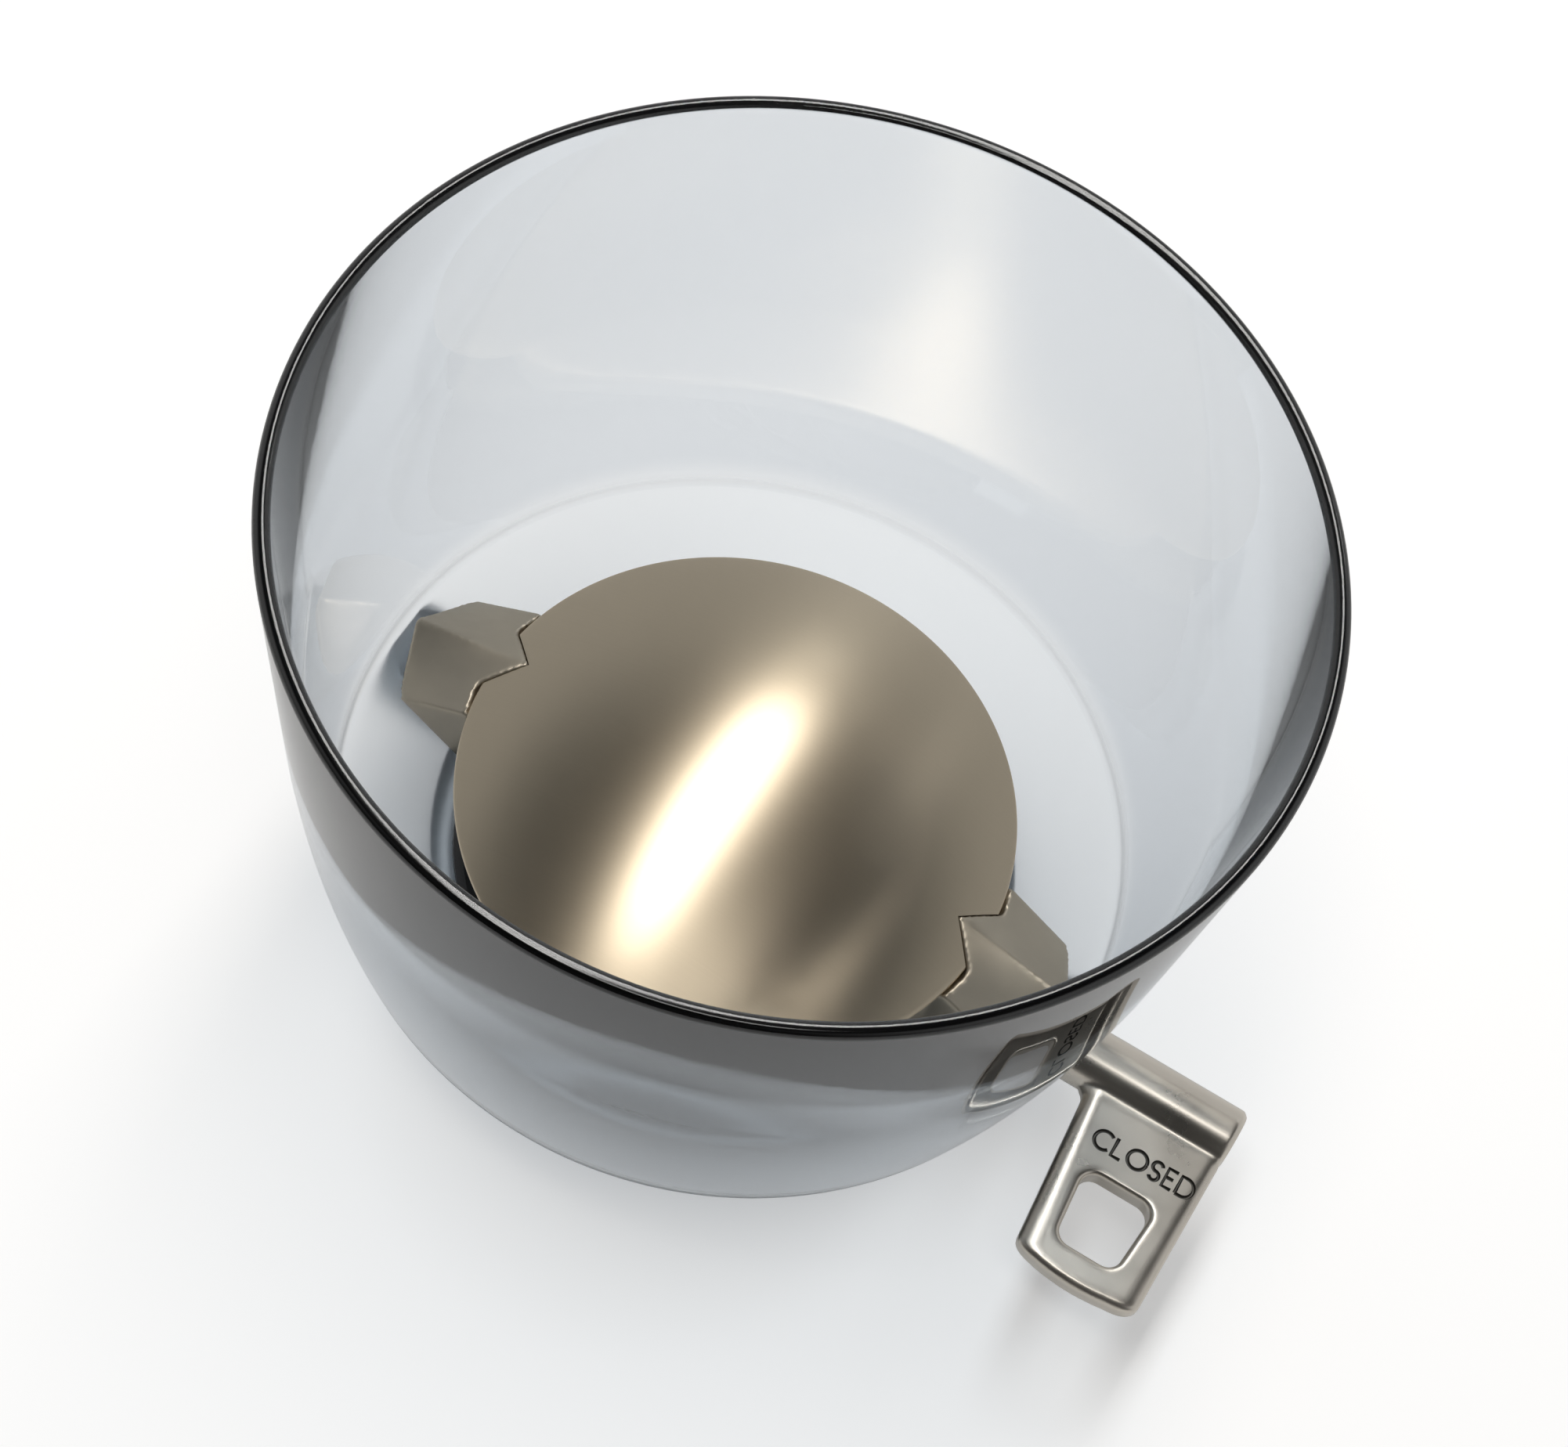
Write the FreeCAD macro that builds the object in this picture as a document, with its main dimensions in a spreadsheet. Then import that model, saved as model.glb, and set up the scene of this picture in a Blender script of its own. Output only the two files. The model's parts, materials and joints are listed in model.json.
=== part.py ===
import FreeCAD, Part
import math
import os
import Sketcher

# Coffee grinder bean hopper: a tinted clear bowl whose funnel floor leads past a metal dome to a
# throat that a quarter turn of the lever shuts. Millimetres, +Z up, Z = 0 on the table, origin on
# the bowl's axis, +X along the shaft towards the lever. At rest the lever is closed.

# Driving sizes
SIZES = [
    # Bowl
    ("rim_radius", 65.0, "outer radius of the bowl at its rim"),
    ("rim_height", 101.0, "top of the rim"),
    ("waist_radius", 61.7, "outer radius where the straight upper wall ends"),
    ("waist_height", 64.0, "height where the straight upper wall ends"),
    ("shoulder_radius", 55.2, "outer radius at the bottom of the wall"),
    ("shoulder_height", 26.0, "height of the wall's bottom outer corner"),
    ("wall", 2.2, "thickness of the wall and the funnel"),
    ("wall_bulge", 0.8, "how far the lower wall bows out from its chord"),
    ("floor_radius", 54.0, "inner radius where the wall meets the funnel"),
    ("floor_height", 28.0, "height where the wall meets the funnel"),
    ("shoulder_fillet", 2.6, "rounding of the bottom outer corner"),
    ("neck_radius", 40.4, "outer radius of the neck"),
    ("neck_wall", 2.4, "thickness of the neck's wall"),
    ("neck_foot", 3.2, "height of the neck's lower edge"),
    ("funnel_foot", 17.0, "height where the funnel meets the neck's bore"),
    ("slot_depth", 1.4, "depth of the bayonet slots"),
    ("collar_stop", 9.8, "height of the neck's step, where the grinder's collar stops"),
    ("collar_step", 1.3, "how far the neck's step stands out"),
    ("slot_low", 5.2, "lower side of the bayonet run"),
    ("slot_high", 8.4, "upper side of the bayonet run"),
    ("slot_entry_deg", 9.0, "angle that a bayonet entry spans"),
    ("slot_run_deg", 24.0, "angle that a bayonet run spans"),
    # Shaft, its bosses and bearings
    ("shaft_height", 18.0, "height of the shaft's axis"),
    ("shaft_radius", 3.0, "radius of the shaft"),
    ("shaft_inner_end", 50.4, "how far the shaft reaches on the blind side"),
    ("shaft_outer_end", 74.0, "how far the shaft reaches into the lever"),
    ("boss_radius", 8.0, "outer radius of the shaft bosses"),
    ("boss_start", 37.2, "where the bosses start, from the bowl's axis"),
    ("boss_end", 54.0, "where the bosses end, from the bowl's axis"),
    ("bush_radius", 5.0, "outer radius of the bushes"),
    ("bush_length", 10.0, "length of a bush in its boss"),
    ("bush_flange_radius", 6.5, "radius of the outer bush's flange"),
    ("bush_flange", 1.0, "thickness of the outer bush's flange"),
    ("running_gap", 0.05, "radial clearance of the turning fits"),
    ("seat_gap", 0.05, "clearance between pieces that are seated together"),
    ("ring_section", 0.62, "section radius of the shaft's O-ring"),
    # Retaining clip and washer
    ("washer_radius", 5.4, "outer radius of the thrust washer"),
    ("washer_thick", 0.6, "thickness of the thrust washer"),
    ("clip_radius", 4.6, "outer radius of the retaining clip"),
    ("clip_thick", 0.7, "thickness of the retaining clip"),
    ("clip_groove", 0.7, "depth of the clip's groove in the shaft"),
    # Detent
    ("detent_place", 48.4, "place of the detent along the shaft"),
    ("ball_radius", 1.5, "radius of the detent ball"),
    ("dimple_depth", 0.45, "depth of the detent groove in the shaft"),
    ("detent_boss_radius", 3.4, "outer radius of the detent's boss"),
    ("detent_boss_foot", 6.4, "height of the detent boss's lower face"),
    ("plug_radius", 2.0, "radius of the detent's screw plug"),
    ("plug_length", 2.8, "length of the detent's screw plug"),
    ("spring_wire", 0.2, "radius of the detent spring's wire"),
    # Valve body, shutter and seal
    ("flange_radius", 39.9, "radius of the valve body's flange"),
    ("flange_foot", 1.2, "height of the flange's lower face"),
    ("flange_thick", 1.9, "thickness of the flange"),
    ("insert_gap", 0.2, "clearance between the valve body and the neck's bore"),
    ("insert_top", 16.6, "height of the valve body's rim"),
    ("insert_rim", 1.2, "width of the valve body's flat rim"),
    ("insert_slope_deg", 20.0, "slope of the valve body's funnel"),
    ("core_inner", 24.6, "inner radius of the moulding's coring"),
    ("core_outer", 30.2, "outer radius of the moulding's coring"),
    ("skin", 2.4, "wall left over the coring"),
    ("trough_radius", 15.6, "radius of the trough that the shutter turns in"),
    ("trough_half", 16.8, "half length of the trough"),
    ("throat_half_x", 12.5, "half length of the throat"),
    ("throat_half_y", 8.4, "half width of the throat"),
    ("throat_corner", 3.0, "corner radius of the throat"),
    ("seal_thick", 0.75, "thickness of the curved seal"),
    ("seal_half_y", 11.0, "half width of the curved seal"),
    ("shutter_gap", 0.25, "gap between the shutter and its seal"),
    ("shutter_thick", 1.4, "thickness of the shutter's shell"),
    ("shutter_half_x", 15.8, "half length of the shutter"),
    ("shutter_half_y", 9.6, "half width of the shutter"),
    ("cheek_thick", 2.0, "thickness of the shutter's cheeks"),
    ("hub_radius", 5.2, "outer radius of the shutter's hubs"),
    ("hub_length", 6.4, "length of a hub, with its cheek"),
    ("pin_radius", 1.0, "radius of the shutter's pins"),
    # Gasket
    ("gasket_inner", 37.0, "inner radius of the neck's gasket"),
    # Dome
    ("dome_radius", 38.9, "radius of the dome's edge"),
    ("dome_edge", 31.8, "height of the dome's edge"),
    ("dome_rise", 11.0, "rise of the dome over its edge"),
    ("dome_thick", 1.2, "thickness of the dome"),
    ("dome_lip", 0.35, "rounding of the dome's edge"),
    ("stud_place", 33.6, "distance of the dome's studs from the axis"),
    ("stud_radius", 1.5, "radius of the dome's studs"),
    ("nut_flats", 5.5, "size of the stud nuts across their flats"),
    ("nut_thick", 2.4, "thickness of the stud nuts"),
    # Bridge
    ("bridge_inner", 30.0, "inner radius of the ring under the dome"),
    ("bridge_outer", 37.4, "outer radius of the ring under the dome"),
    ("bridge_foot", 28.6, "height of the ring's lower face"),
    ("arm_half", 9.8, "half width of an arm"),
    ("arm_start", 34.0, "where an arm's ridge leaves the dome"),
    ("notch_half", 5.3, "half width of the dome's notches at its edge"),
    ("arm_bite", 1.0, "how far an arm reaches into the ring"),
    ("arm_shoulder", 48.5, "where the arm's end starts to narrow"),
    ("arm_tip", 52.0, "tip of the arm"),
    ("ridge_start", 34.6, "height of the ridge at the dome"),
    ("ridge_end", 29.8, "height of the ridge at the tip"),
    ("eave_start", 33.5, "height of the eaves at the dome"),
    ("eave_end", 24.6, "height of the eaves at the arm's shoulder"),
    ("arm_under", 26.6, "height of the arm's underside inside the neck"),
    ("tip_round", 1.6, "rounding of the arm's tip"),
    ("boss_gap", 0.3, "clearance of the arm over the bowl's boss"),
    ("lug_place_x", 33.0, "place of the clamp screws along the shaft"),
    ("lug_place_y", 8.7, "place of the clamp screws beside the shaft"),
    ("lug_radius", 3.2, "radius of the bridge's screw lugs"),
    ("screw_radius", 1.5, "radius of the clamp screws"),
    ("screw_head", 2.75, "radius of the clamp screws' heads"),
    ("screw_head_thick", 2.2, "thickness of the clamp screws' heads"),
    ("screw_top", 25.0, "height of the clamp screws' tips"),
    # Lever
    ("lever_radius", 4.5, "radius of the lever's tube"),
    ("lever_start", 56.8, "where the lever's tube starts"),
    ("lever_end", 80.7, "where the lever's tube ends"),
    ("lever_chamfer", 0.7, "chamfer of the tube's end"),
    ("plate_inner", 61.7, "inner edge of the plate at the tube"),
    ("plate_outer", 79.9, "outer edge of the plate at the tube"),
    ("plate_inner_end", 63.9, "inner edge of the plate at its end"),
    ("plate_outer_end", 78.4, "outer edge of the plate at its end"),
    ("plate_reach", 30.0, "reach of the plate from the shaft's axis"),
    ("plate_bow", 0.9, "how far the plate's end bows out"),
    ("plate_thick", 3.9, "thickness of the plate"),
    ("plate_corner", 2.2, "corner radius of the plate"),
    ("plate_round", 1.3, "rounding of the plate's edges"),
    ("web_fillet", 1.9, "fillet between the plate and the tube"),
    ("hole_near", 15.1, "near side of the finger hole, from the axis"),
    ("hole_far", 26.1, "far side of the finger hole, from the axis"),
    ("hole_inner", 65.3, "inner side of the finger hole at the tube"),
    ("hole_outer", 75.9, "outer side of the finger hole at the tube"),
    ("hole_taper", 0.9, "how much each side of the hole leans in"),
    ("hole_corner", 2.1, "corner radius of the finger hole"),
    ("hole_round", 0.7, "rounding of the hole's edges"),
    ("grub_place", 70.0, "place of the lever's grub screw"),
    ("grub_radius", 1.5, "radius of the grub screw"),
    ("grub_flat", 0.5, "depth of the flat under the grub screw"),
    # Shared clearances and small features
    ("pocket_gap", 0.4, "clearance round what stands in a pocket or passes through a wall"),
    ("face_gap", 0.02, "play between faces along the shaft"),
    ("shaft_chamfer", 0.4, "chamfer of the shaft's blind end"),
    ("socket_flats", 2.0, "size of the hexagon sockets across their flats"),
    ("grub_flats", 1.5, "size of the grub screw's socket across its flats"),
]

# How far a cutting form stands out of what it cuts
OVER = 1.0
# The bayonet's slots: how many, and where the first starts, in degrees from the lever's side
SLOTS = 3
SLOT_START = 30
# The rim's rounding as a share of the wall, just under a full half round
RIM_SHARE = 0.48
# Turns of the detent's spring
SPRING_TURNS = 3
# How closely an edge has to match the place where it is looked for
SLACK = 0.02


class Size:
    """A length or angle: its value, and the expression over the sheet's cells that gives it."""

    def __init__(self, value, text):
        self.value = value
        self.text = text

    def join(self, other, sign, value):
        text = other.text if isinstance(other, Size) else str(other)
        return Size(value, "(%s %s %s)" % (self.text, sign, text))

    def __add__(self, other):
        return self.join(other, "+", self.value + number(other))

    def __sub__(self, other):
        return self.join(other, "-", self.value - number(other))

    def __mul__(self, other):
        return self.join(other, "*", self.value * number(other))

    def __truediv__(self, other):
        return self.join(other, "/", self.value / number(other))

    def __neg__(self):
        return Size(-self.value, "(0 - %s)" % self.text)


def number(size):
    """The plain value of a size, or of a number."""
    return size.value if isinstance(size, Size) else size


def as_size(size):
    """A size, also from a plain number."""
    return size if isinstance(size, Size) else Size(size, str(size))


def tangent(size):
    """The tangent of an angle in degrees."""
    return Size(math.tan(math.radians(size.value)), "tan(%s * 1 deg)" % size.text)


def hypotenuse(one, two):
    """The long side of a right triangle."""
    text = "sqrt(%s * %s + %s * %s)" % (one.text, one.text, two.text, two.text)
    return Size(math.hypot(one.value, two.value), text)


def sink(radius, offset):
    """Height of a circle's arc at an offset from its middle."""
    text = "sqrt(%s * %s - %s * %s)" % (radius.text, radius.text, offset.text, offset.text)
    return Size(math.sqrt(radius.value ** 2 - offset.value ** 2), text)


class Sizes:
    """The driving sizes by name."""


doc = FreeCAD.newDocument("bean_hopper")
sheet = doc.addObject("Spreadsheet::Sheet", "Sizes")
d = Sizes()
for row, (alias, value, note) in enumerate(SIZES, 1):
    sheet.set("A%d" % row, note)
    sheet.set("B%d" % row, str(value))
    sheet.setAlias("B%d" % row, alias)
    setattr(d, alias, Size(value, "Sizes.%s" % alias))
doc.recompute()

# Sizes that follow from the driving ones
neck_bore = d.neck_radius - d.neck_wall
funnel_slope = (d.floor_height - d.funnel_foot) / (d.floor_radius - neck_bore)
funnel_drop = d.wall * hypotenuse(funnel_slope, Size(1.0, "1"))
insert_radius = neck_bore - d.insert_gap
insert_mouth = insert_radius - d.insert_rim
insert_slope = tangent(d.insert_slope_deg)
seal_inner = d.trough_radius - d.seal_thick
shutter_radius = seal_inner - d.shutter_gap
dome_sphere = (d.dome_radius * d.dome_radius + d.dome_rise * d.dome_rise) / (d.dome_rise * 2)
dome_centre = d.dome_edge + d.dome_rise - dome_sphere
dome_inner_sphere = dome_sphere - d.dome_thick
axis_to_ball = d.shaft_radius - d.dimple_depth + d.ball_radius + d.running_gap
clip_place = d.boss_start - d.washer_thick - d.clip_thick
screw_recess = d.seat_gap * 6


# Helpers
def bind(item, **sizes):
    """Binds properties of an object to expressions over the sheet."""
    for name, size in sizes.items():
        if isinstance(size, Size):
            item.setExpression(name, size.text)
        else:
            setattr(item, name, size)


def place(item, x=0, y=0, z=0, axis=(0, 0, 1), angle=0):
    """Puts an object at a place that follows the sheet, turned about an axis."""
    spot = FreeCAD.Vector(number(x), number(y), number(z))
    item.Placement = FreeCAD.Placement(spot, FreeCAD.Rotation(FreeCAD.Vector(*axis), angle))
    for name, size in (("x", x), ("y", y), ("z", z)):
        if isinstance(size, Size):
            item.setExpression("Placement.Base." + name, size.text)
    return item


def cylinder(name, radius, height, x=0, y=0, z=0, along="Z"):
    """A cylinder from its starting face, along +Z, +X or -Y."""
    item = doc.addObject("Part::Cylinder", name)
    bind(item, Radius=radius, Height=height)
    axis, angle = {"Z": ((0, 0, 1), 0), "X": ((0, 1, 0), 90), "Y": ((1, 0, 0), 90)}[along]
    return place(item, x, y, z, axis, angle)


def box(name, x, y, z, long_x, long_y, long_z):
    """A box from its lowest corner."""
    item = doc.addObject("Part::Box", name)
    bind(item, Length=long_x, Width=long_y, Height=long_z)
    return place(item, x, y, z)


def sphere(name, radius, z):
    """A sphere on the bowl's axis, its seam turned away from the arms and studs."""
    item = doc.addObject("Part::Sphere", name)
    bind(item, Radius=radius)
    return place(item, z=z, angle=45)


def cut(name, base, *tools):
    """The base without the tools."""
    for count, tool in enumerate(tools, 1):
        item = doc.addObject("Part::Cut", name if count == len(tools) else "%s_cut%d" % (name, count))
        item.Base = base
        item.Tool = tool
        base = item
    return base


def common(name, base, tool):
    """What two objects share."""
    item = doc.addObject("Part::Common", name)
    item.Base = base
    item.Tool = tool
    return item


def fuse(name, *shapes):
    """One solid from several objects."""
    item = doc.addObject("Part::MultiFuse", name)
    item.Shapes = list(shapes)
    item.Refine = True
    return item


def mirrored(name, source):
    """The mirror image of an object across the plane X = 0."""
    item = doc.addObject("Part::Mirroring", name)
    item.Source = source
    item.Normal = (1, 0, 0)
    return item


def group(name, solids):
    """Separate solids kept together as one node."""
    item = doc.addObject("Part::Compound", name)
    item.Links = solids
    return item


def origin_part(body, role):
    """A plane or an axis of a body's own origin."""
    for feature in body.Origin.OriginFeatures:
        if feature.Role == role:
            return feature
    raise RuntimeError("the origin has no " + role)


def new_body(name):
    """An empty body."""
    return doc.addObject("PartDesign::Body", name)


def new_sketch(body, name, role):
    """A sketch on one of the body's origin planes."""
    sketch = body.newObject("Sketcher::SketchObject", name)
    sketch.AttachmentSupport = [(origin_part(body, role), "")]
    sketch.MapMode = "FlatFace"
    return sketch


def pin_point(sketch, line, end, x, y):
    """Ties one end of a sketch line to a place that follows the sheet."""
    for kind, size, axis in (("DistanceX", x, -2), ("DistanceY", y, -1)):
        if number(size) == 0:
            sketch.addConstraint(Sketcher.Constraint("PointOnObject", line, end, axis))
        else:
            count = sketch.addConstraint(Sketcher.Constraint(kind, -1, 1, line, end, number(size)))
            if isinstance(size, Size):
                sketch.setExpression("Constraints[%d]" % count, size.text)


def outline(sketch, points, arcs=None):
    """A closed outline through points; arcs gives a bulge for the edges that are bowed.

    An arc's bulge is the height of its middle over the chord, to the right when positive.
    """
    arcs = arcs or {}
    spots = [FreeCAD.Vector(number(x), number(y), 0) for x, y in points]
    ends = []
    for count, start in enumerate(spots):
        stop = spots[(count + 1) % len(spots)]
        if count in arcs:
            chord = stop - start
            side = FreeCAD.Vector(chord.y, -chord.x, 0)
            side.normalize()
            middle = (start + stop) * 0.5 + side * number(arcs[count])
            index = sketch.addGeometry(Part.Arc(start, middle, stop))
            forward = (sketch.getPoint(index, 1) - start).Length < (sketch.getPoint(index, 1) - stop).Length
            start_end = (1, 2) if forward else (2, 1)
            ends.append((index, start_end))
        else:
            index = sketch.addGeometry(Part.LineSegment(start, stop))
            ends.append((index, (1, 2)))
    for count, (index, (start_end, stop_end)) in enumerate(ends):
        after, (after_start, after_stop) = ends[(count + 1) % len(ends)]
        sketch.addConstraint(Sketcher.Constraint("Coincident", index, stop_end, after, after_start))
    for count, (x, y) in enumerate(points):
        index, (start_end, stop_end) = ends[count]
        pin_point(sketch, index, start_end, x, y)
    for count, bulge in arcs.items():
        index, (start_end, stop_end) = ends[count]
        (x1, y1), (x2, y2) = points[count], points[(count + 1) % len(points)]
        half = hypotenuse(as_size(x2) - x1, as_size(y2) - y1) / 2
        radius = (half * half + bulge * bulge) / (bulge * 2)
        number_of = sketch.addConstraint(Sketcher.Constraint("Radius", index, abs(number(radius))))
        sketch.setExpression("Constraints[%d]" % number_of, "abs(%s)" % radius.text)


def revolution(body, name, points, arcs=None):
    """A ring or cup turned from its half section, given as (radius, height)."""
    sketch = new_sketch(body, name + "_section", "XZ_Plane")
    outline(sketch, points, arcs)
    feature = body.newObject("PartDesign::Revolution", name)
    feature.Profile = sketch
    feature.ReferenceAxis = (sketch, ["V_Axis"])
    feature.Angle = 360
    return feature


def groove(body, name, points, angle=360, start=0):
    """Material turned away from a body, over an angle from a starting angle."""
    sketch = new_sketch(body, name + "_section", "XZ_Plane")
    sketch.AttachmentOffset = FreeCAD.Placement(FreeCAD.Vector(), FreeCAD.Rotation(FreeCAD.Vector(0, 1, 0), start))
    outline(sketch, points)
    feature = body.newObject("PartDesign::Groove", name)
    feature.Profile = sketch
    feature.ReferenceAxis = (sketch, ["V_Axis"])
    bind(feature, Angle=angle)
    return feature


def body_cylinder(body, kind, name, radius, height, x=0, y=0, z=0, along="Z"):
    """A cylinder added to a body or taken from it; kind is Additive or Subtractive."""
    item = body.newObject("PartDesign::%sCylinder" % kind, name)
    bind(item, Radius=radius, Height=height)
    axis, angle = {"Z": ((0, 0, 1), 0), "X": ((0, 1, 0), 90)}[along]
    return place(item, x, y, z, axis, angle)


def body_box(body, kind, name, x, y, z, long_x, long_y, long_z):
    """A box added to a body or taken from it."""
    item = body.newObject("PartDesign::%sBox" % kind, name)
    bind(item, Length=long_x, Width=long_y, Height=long_z)
    return place(item, x, y, z)


def edges_where(shape, test):
    """Names of the edges whose two ends and middle all pass a test."""
    names = []
    for count, edge in enumerate(shape.Edges, 1):
        middle = edge.valueAt((edge.FirstParameter + edge.LastParameter) / 2)
        spots = [edge.valueAt(edge.FirstParameter), middle, edge.valueAt(edge.LastParameter)]
        if all(test(spot) for spot in spots):
            names.append("Edge%d" % count)
    return names


def round_edges(body, base, name, radius, test, kind="Fillet"):
    """Fillets or chamfers the edges of a body's feature that pass a test."""
    doc.recompute()
    feature = body.newObject("PartDesign::" + kind, name)
    feature.Base = (base, edges_where(base.Shape, test))
    bind(feature, **{"Radius" if kind == "Fillet" else "Size": radius})
    return feature


def polar(body, name, feature, copies):
    """Copies of a feature round the bowl's axis."""
    pattern = body.newObject("PartDesign::PolarPattern", name)
    pattern.Originals = [feature]
    pattern.Axis = (origin_part(body, "Z_Axis"), [""])
    pattern.Angle = 360
    pattern.Occurrences = copies
    body.Tip = pattern


def near(value, size):
    """Whether a coordinate equals a size."""
    return abs(value - number(size)) < SLACK


def off_axis(spot):
    """Distance of a point from the bowl's axis."""
    return math.hypot(spot.x, spot.y)


def off_shaft(spot):
    """Distance of a point from the shaft's axis."""
    return math.hypot(spot.y, spot.z - number(d.shaft_height))


# Bowl
def make_bowl():
    body = new_body("bowl")
    step_radius = d.neck_radius + d.collar_step
    section = [
        (d.rim_radius - d.wall, d.rim_height),
        (d.rim_radius, d.rim_height),
        (d.waist_radius, d.waist_height),
        (d.shoulder_radius, d.shoulder_height),
        (step_radius, d.funnel_foot + funnel_slope * (step_radius - neck_bore) - funnel_drop),
        (step_radius, d.collar_stop),
        (d.neck_radius, d.collar_stop),
        (d.neck_radius, d.neck_foot),
        (neck_bore, d.neck_foot),
        (neck_bore, d.funnel_foot),
        (d.floor_radius, d.floor_height),
        (d.waist_radius - d.wall, d.waist_height),
    ]
    shell = revolution(body, "bowl_shell", section, {2: -d.wall_bulge, 10: d.wall_bulge})
    # The rim's rounding follows the wall's thickness, which is less the more the wall leans out
    rise = d.rim_height - d.waist_height
    upright = rise / hypotenuse(rise, d.rim_radius - d.waist_radius)
    rim = round_edges(body, shell, "rim_round", d.wall * upright * RIM_SHARE,
                      lambda spot: near(spot.z, d.rim_height))
    shoulder = round_edges(body, rim, "shoulder_round", d.shoulder_fillet,
                           lambda spot: near(off_axis(spot), d.shoulder_radius)
                           and near(spot.z, d.shoulder_height))
    round_edges(body, shoulder, "floor_round", d.wall / 2,
                lambda spot: near(off_axis(spot), d.floor_radius)
                and near(spot.z, d.floor_height))
    # Shaft bosses under the funnel, and the detent's boss below the outer one
    length = d.boss_end - d.boss_start
    body_cylinder(body, "Additive", "outer_boss", d.boss_radius, length,
                  x=d.boss_start, z=d.shaft_height, along="X")
    body_cylinder(body, "Additive", "blind_boss", d.boss_radius, length,
                  x=-d.boss_end, z=d.shaft_height, along="X")
    body_cylinder(body, "Additive", "detent_boss", d.detent_boss_radius,
                  d.shaft_height - d.detent_boss_foot, x=d.detent_place, z=d.detent_boss_foot)
    bore = d.bush_radius + d.seat_gap
    body_cylinder(body, "Subtractive", "outer_bore", bore, d.bush_length + OVER,
                  x=d.boss_end - d.bush_length, z=d.shaft_height, along="X")
    body_cylinder(body, "Subtractive", "outer_pilot", d.shaft_radius + d.pocket_gap, length,
                  x=d.boss_start - OVER, z=d.shaft_height, along="X")
    blind_end = d.shaft_inner_end + d.clip_thick
    body_cylinder(body, "Subtractive", "blind_bore", bore, blind_end - d.boss_start + OVER,
                  x=-blind_end, z=d.shaft_height, along="X")
    body_cylinder(body, "Subtractive", "detent_bore", d.plug_radius + d.seat_gap,
                  d.shaft_height - d.bush_radius - d.detent_boss_foot,
                  x=d.detent_place, z=d.detent_boss_foot - OVER / 2)
    body_cylinder(body, "Subtractive", "detent_guide", d.ball_radius + d.running_gap,
                  d.shaft_height - d.detent_boss_foot, x=d.detent_place, z=d.detent_boss_foot)
    # Three bayonet slots round the neck
    depth = d.neck_radius - d.slot_depth
    beyond = d.neck_radius + OVER
    entry = groove(body, "slot_entry",
                   [(depth, d.neck_foot - OVER), (beyond, d.neck_foot - OVER),
                    (beyond, d.slot_low + OVER), (depth, d.slot_low + OVER)], d.slot_entry_deg, SLOT_START)
    doc.recompute()
    polar(body, "slot_entries", entry, SLOTS)
    run = groove(body, "slot_run",
                 [(depth, d.slot_low), (beyond, d.slot_low),
                  (beyond, d.slot_high), (depth, d.slot_high)], d.slot_run_deg, SLOT_START)
    doc.recompute()
    polar(body, "slot_runs", run, SLOTS)
    return body


# Valve body: moulded insert in the neck
def make_valve_body():
    body = new_body("valve_body")
    flange_top = d.flange_foot + d.flange_thick
    middle = d.insert_top - insert_mouth * insert_slope
    revolution(body, "insert", [
        (0, d.flange_foot),
        (d.flange_radius, d.flange_foot),
        (d.flange_radius, flange_top),
        (insert_radius, flange_top),
        (insert_radius, d.insert_top),
        (insert_mouth, d.insert_top),
        (0, middle),
    ])
    groove(body, "coring", [
        (d.core_inner, d.flange_foot - OVER),
        (d.core_outer, d.flange_foot - OVER),
        (d.core_outer, middle + d.core_outer * insert_slope - d.skin),
        (d.core_inner, middle + d.core_inner * insert_slope - d.skin),
    ])
    body_cylinder(body, "Subtractive", "trough", d.trough_radius, d.trough_half * 2,
                  x=-d.trough_half, z=d.shaft_height, along="X")
    body_cylinder(body, "Subtractive", "shaft_channel", d.shaft_radius + d.pocket_gap, insert_radius * 2,
                  x=-insert_radius, z=d.shaft_height, along="X")
    washer_room = insert_radius - clip_place + d.pocket_gap
    for side, start in (("outer", insert_radius - washer_room), ("blind", -insert_radius)):
        body_cylinder(body, "Subtractive", side + "_washer_room", d.washer_radius + d.pocket_gap,
                      washer_room, x=start, z=d.shaft_height, along="X")
    boss_room = insert_radius - d.boss_start + d.pocket_gap
    for side, start in (("outer", insert_radius - boss_room), ("blind", -insert_radius)):
        body_cylinder(body, "Subtractive", side + "_boss_room", d.boss_radius + d.pocket_gap,
                      boss_room, x=start, z=d.shaft_height, along="X")
    throat = body_box(body, "Subtractive", "throat", -d.throat_half_x, -d.throat_half_y,
                      d.flange_foot - OVER, d.throat_half_x * 2, d.throat_half_y * 2, d.shaft_height)
    round_edges(body, throat, "throat_corners", d.throat_corner,
                lambda spot: near(abs(spot.x), d.throat_half_x)
                and near(abs(spot.y), d.throat_half_y))
    doc.recompute()
    for count, (x, y) in enumerate(screw_places(), 1):
        body_cylinder(body, "Subtractive", "screw_hole%d" % count, d.screw_radius + d.seat_gap * 4,
                      d.insert_top, x=x, y=y, z=d.flange_foot - OVER)
        body_cylinder(body, "Subtractive", "screw_sink%d" % count, d.screw_head + d.pocket_gap,
                      d.screw_head_thick + screw_recess + OVER, x=x, y=y, z=d.flange_foot - OVER)
        body_cylinder(body, "Subtractive", "lug_room%d" % count, d.lug_radius + d.seat_gap * 4,
                      d.insert_top, x=x, y=y, z=lug_foot())
    return body


def screw_places():
    """Places of the four clamp screws."""
    return [(x, y) for x in (d.lug_place_x, -d.lug_place_x) for y in (d.lug_place_y, -d.lug_place_y)]


def lug_foot():
    """Height where the bridge's lugs end: they stand in pockets of the valve body."""
    return d.insert_top - d.skin


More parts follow.
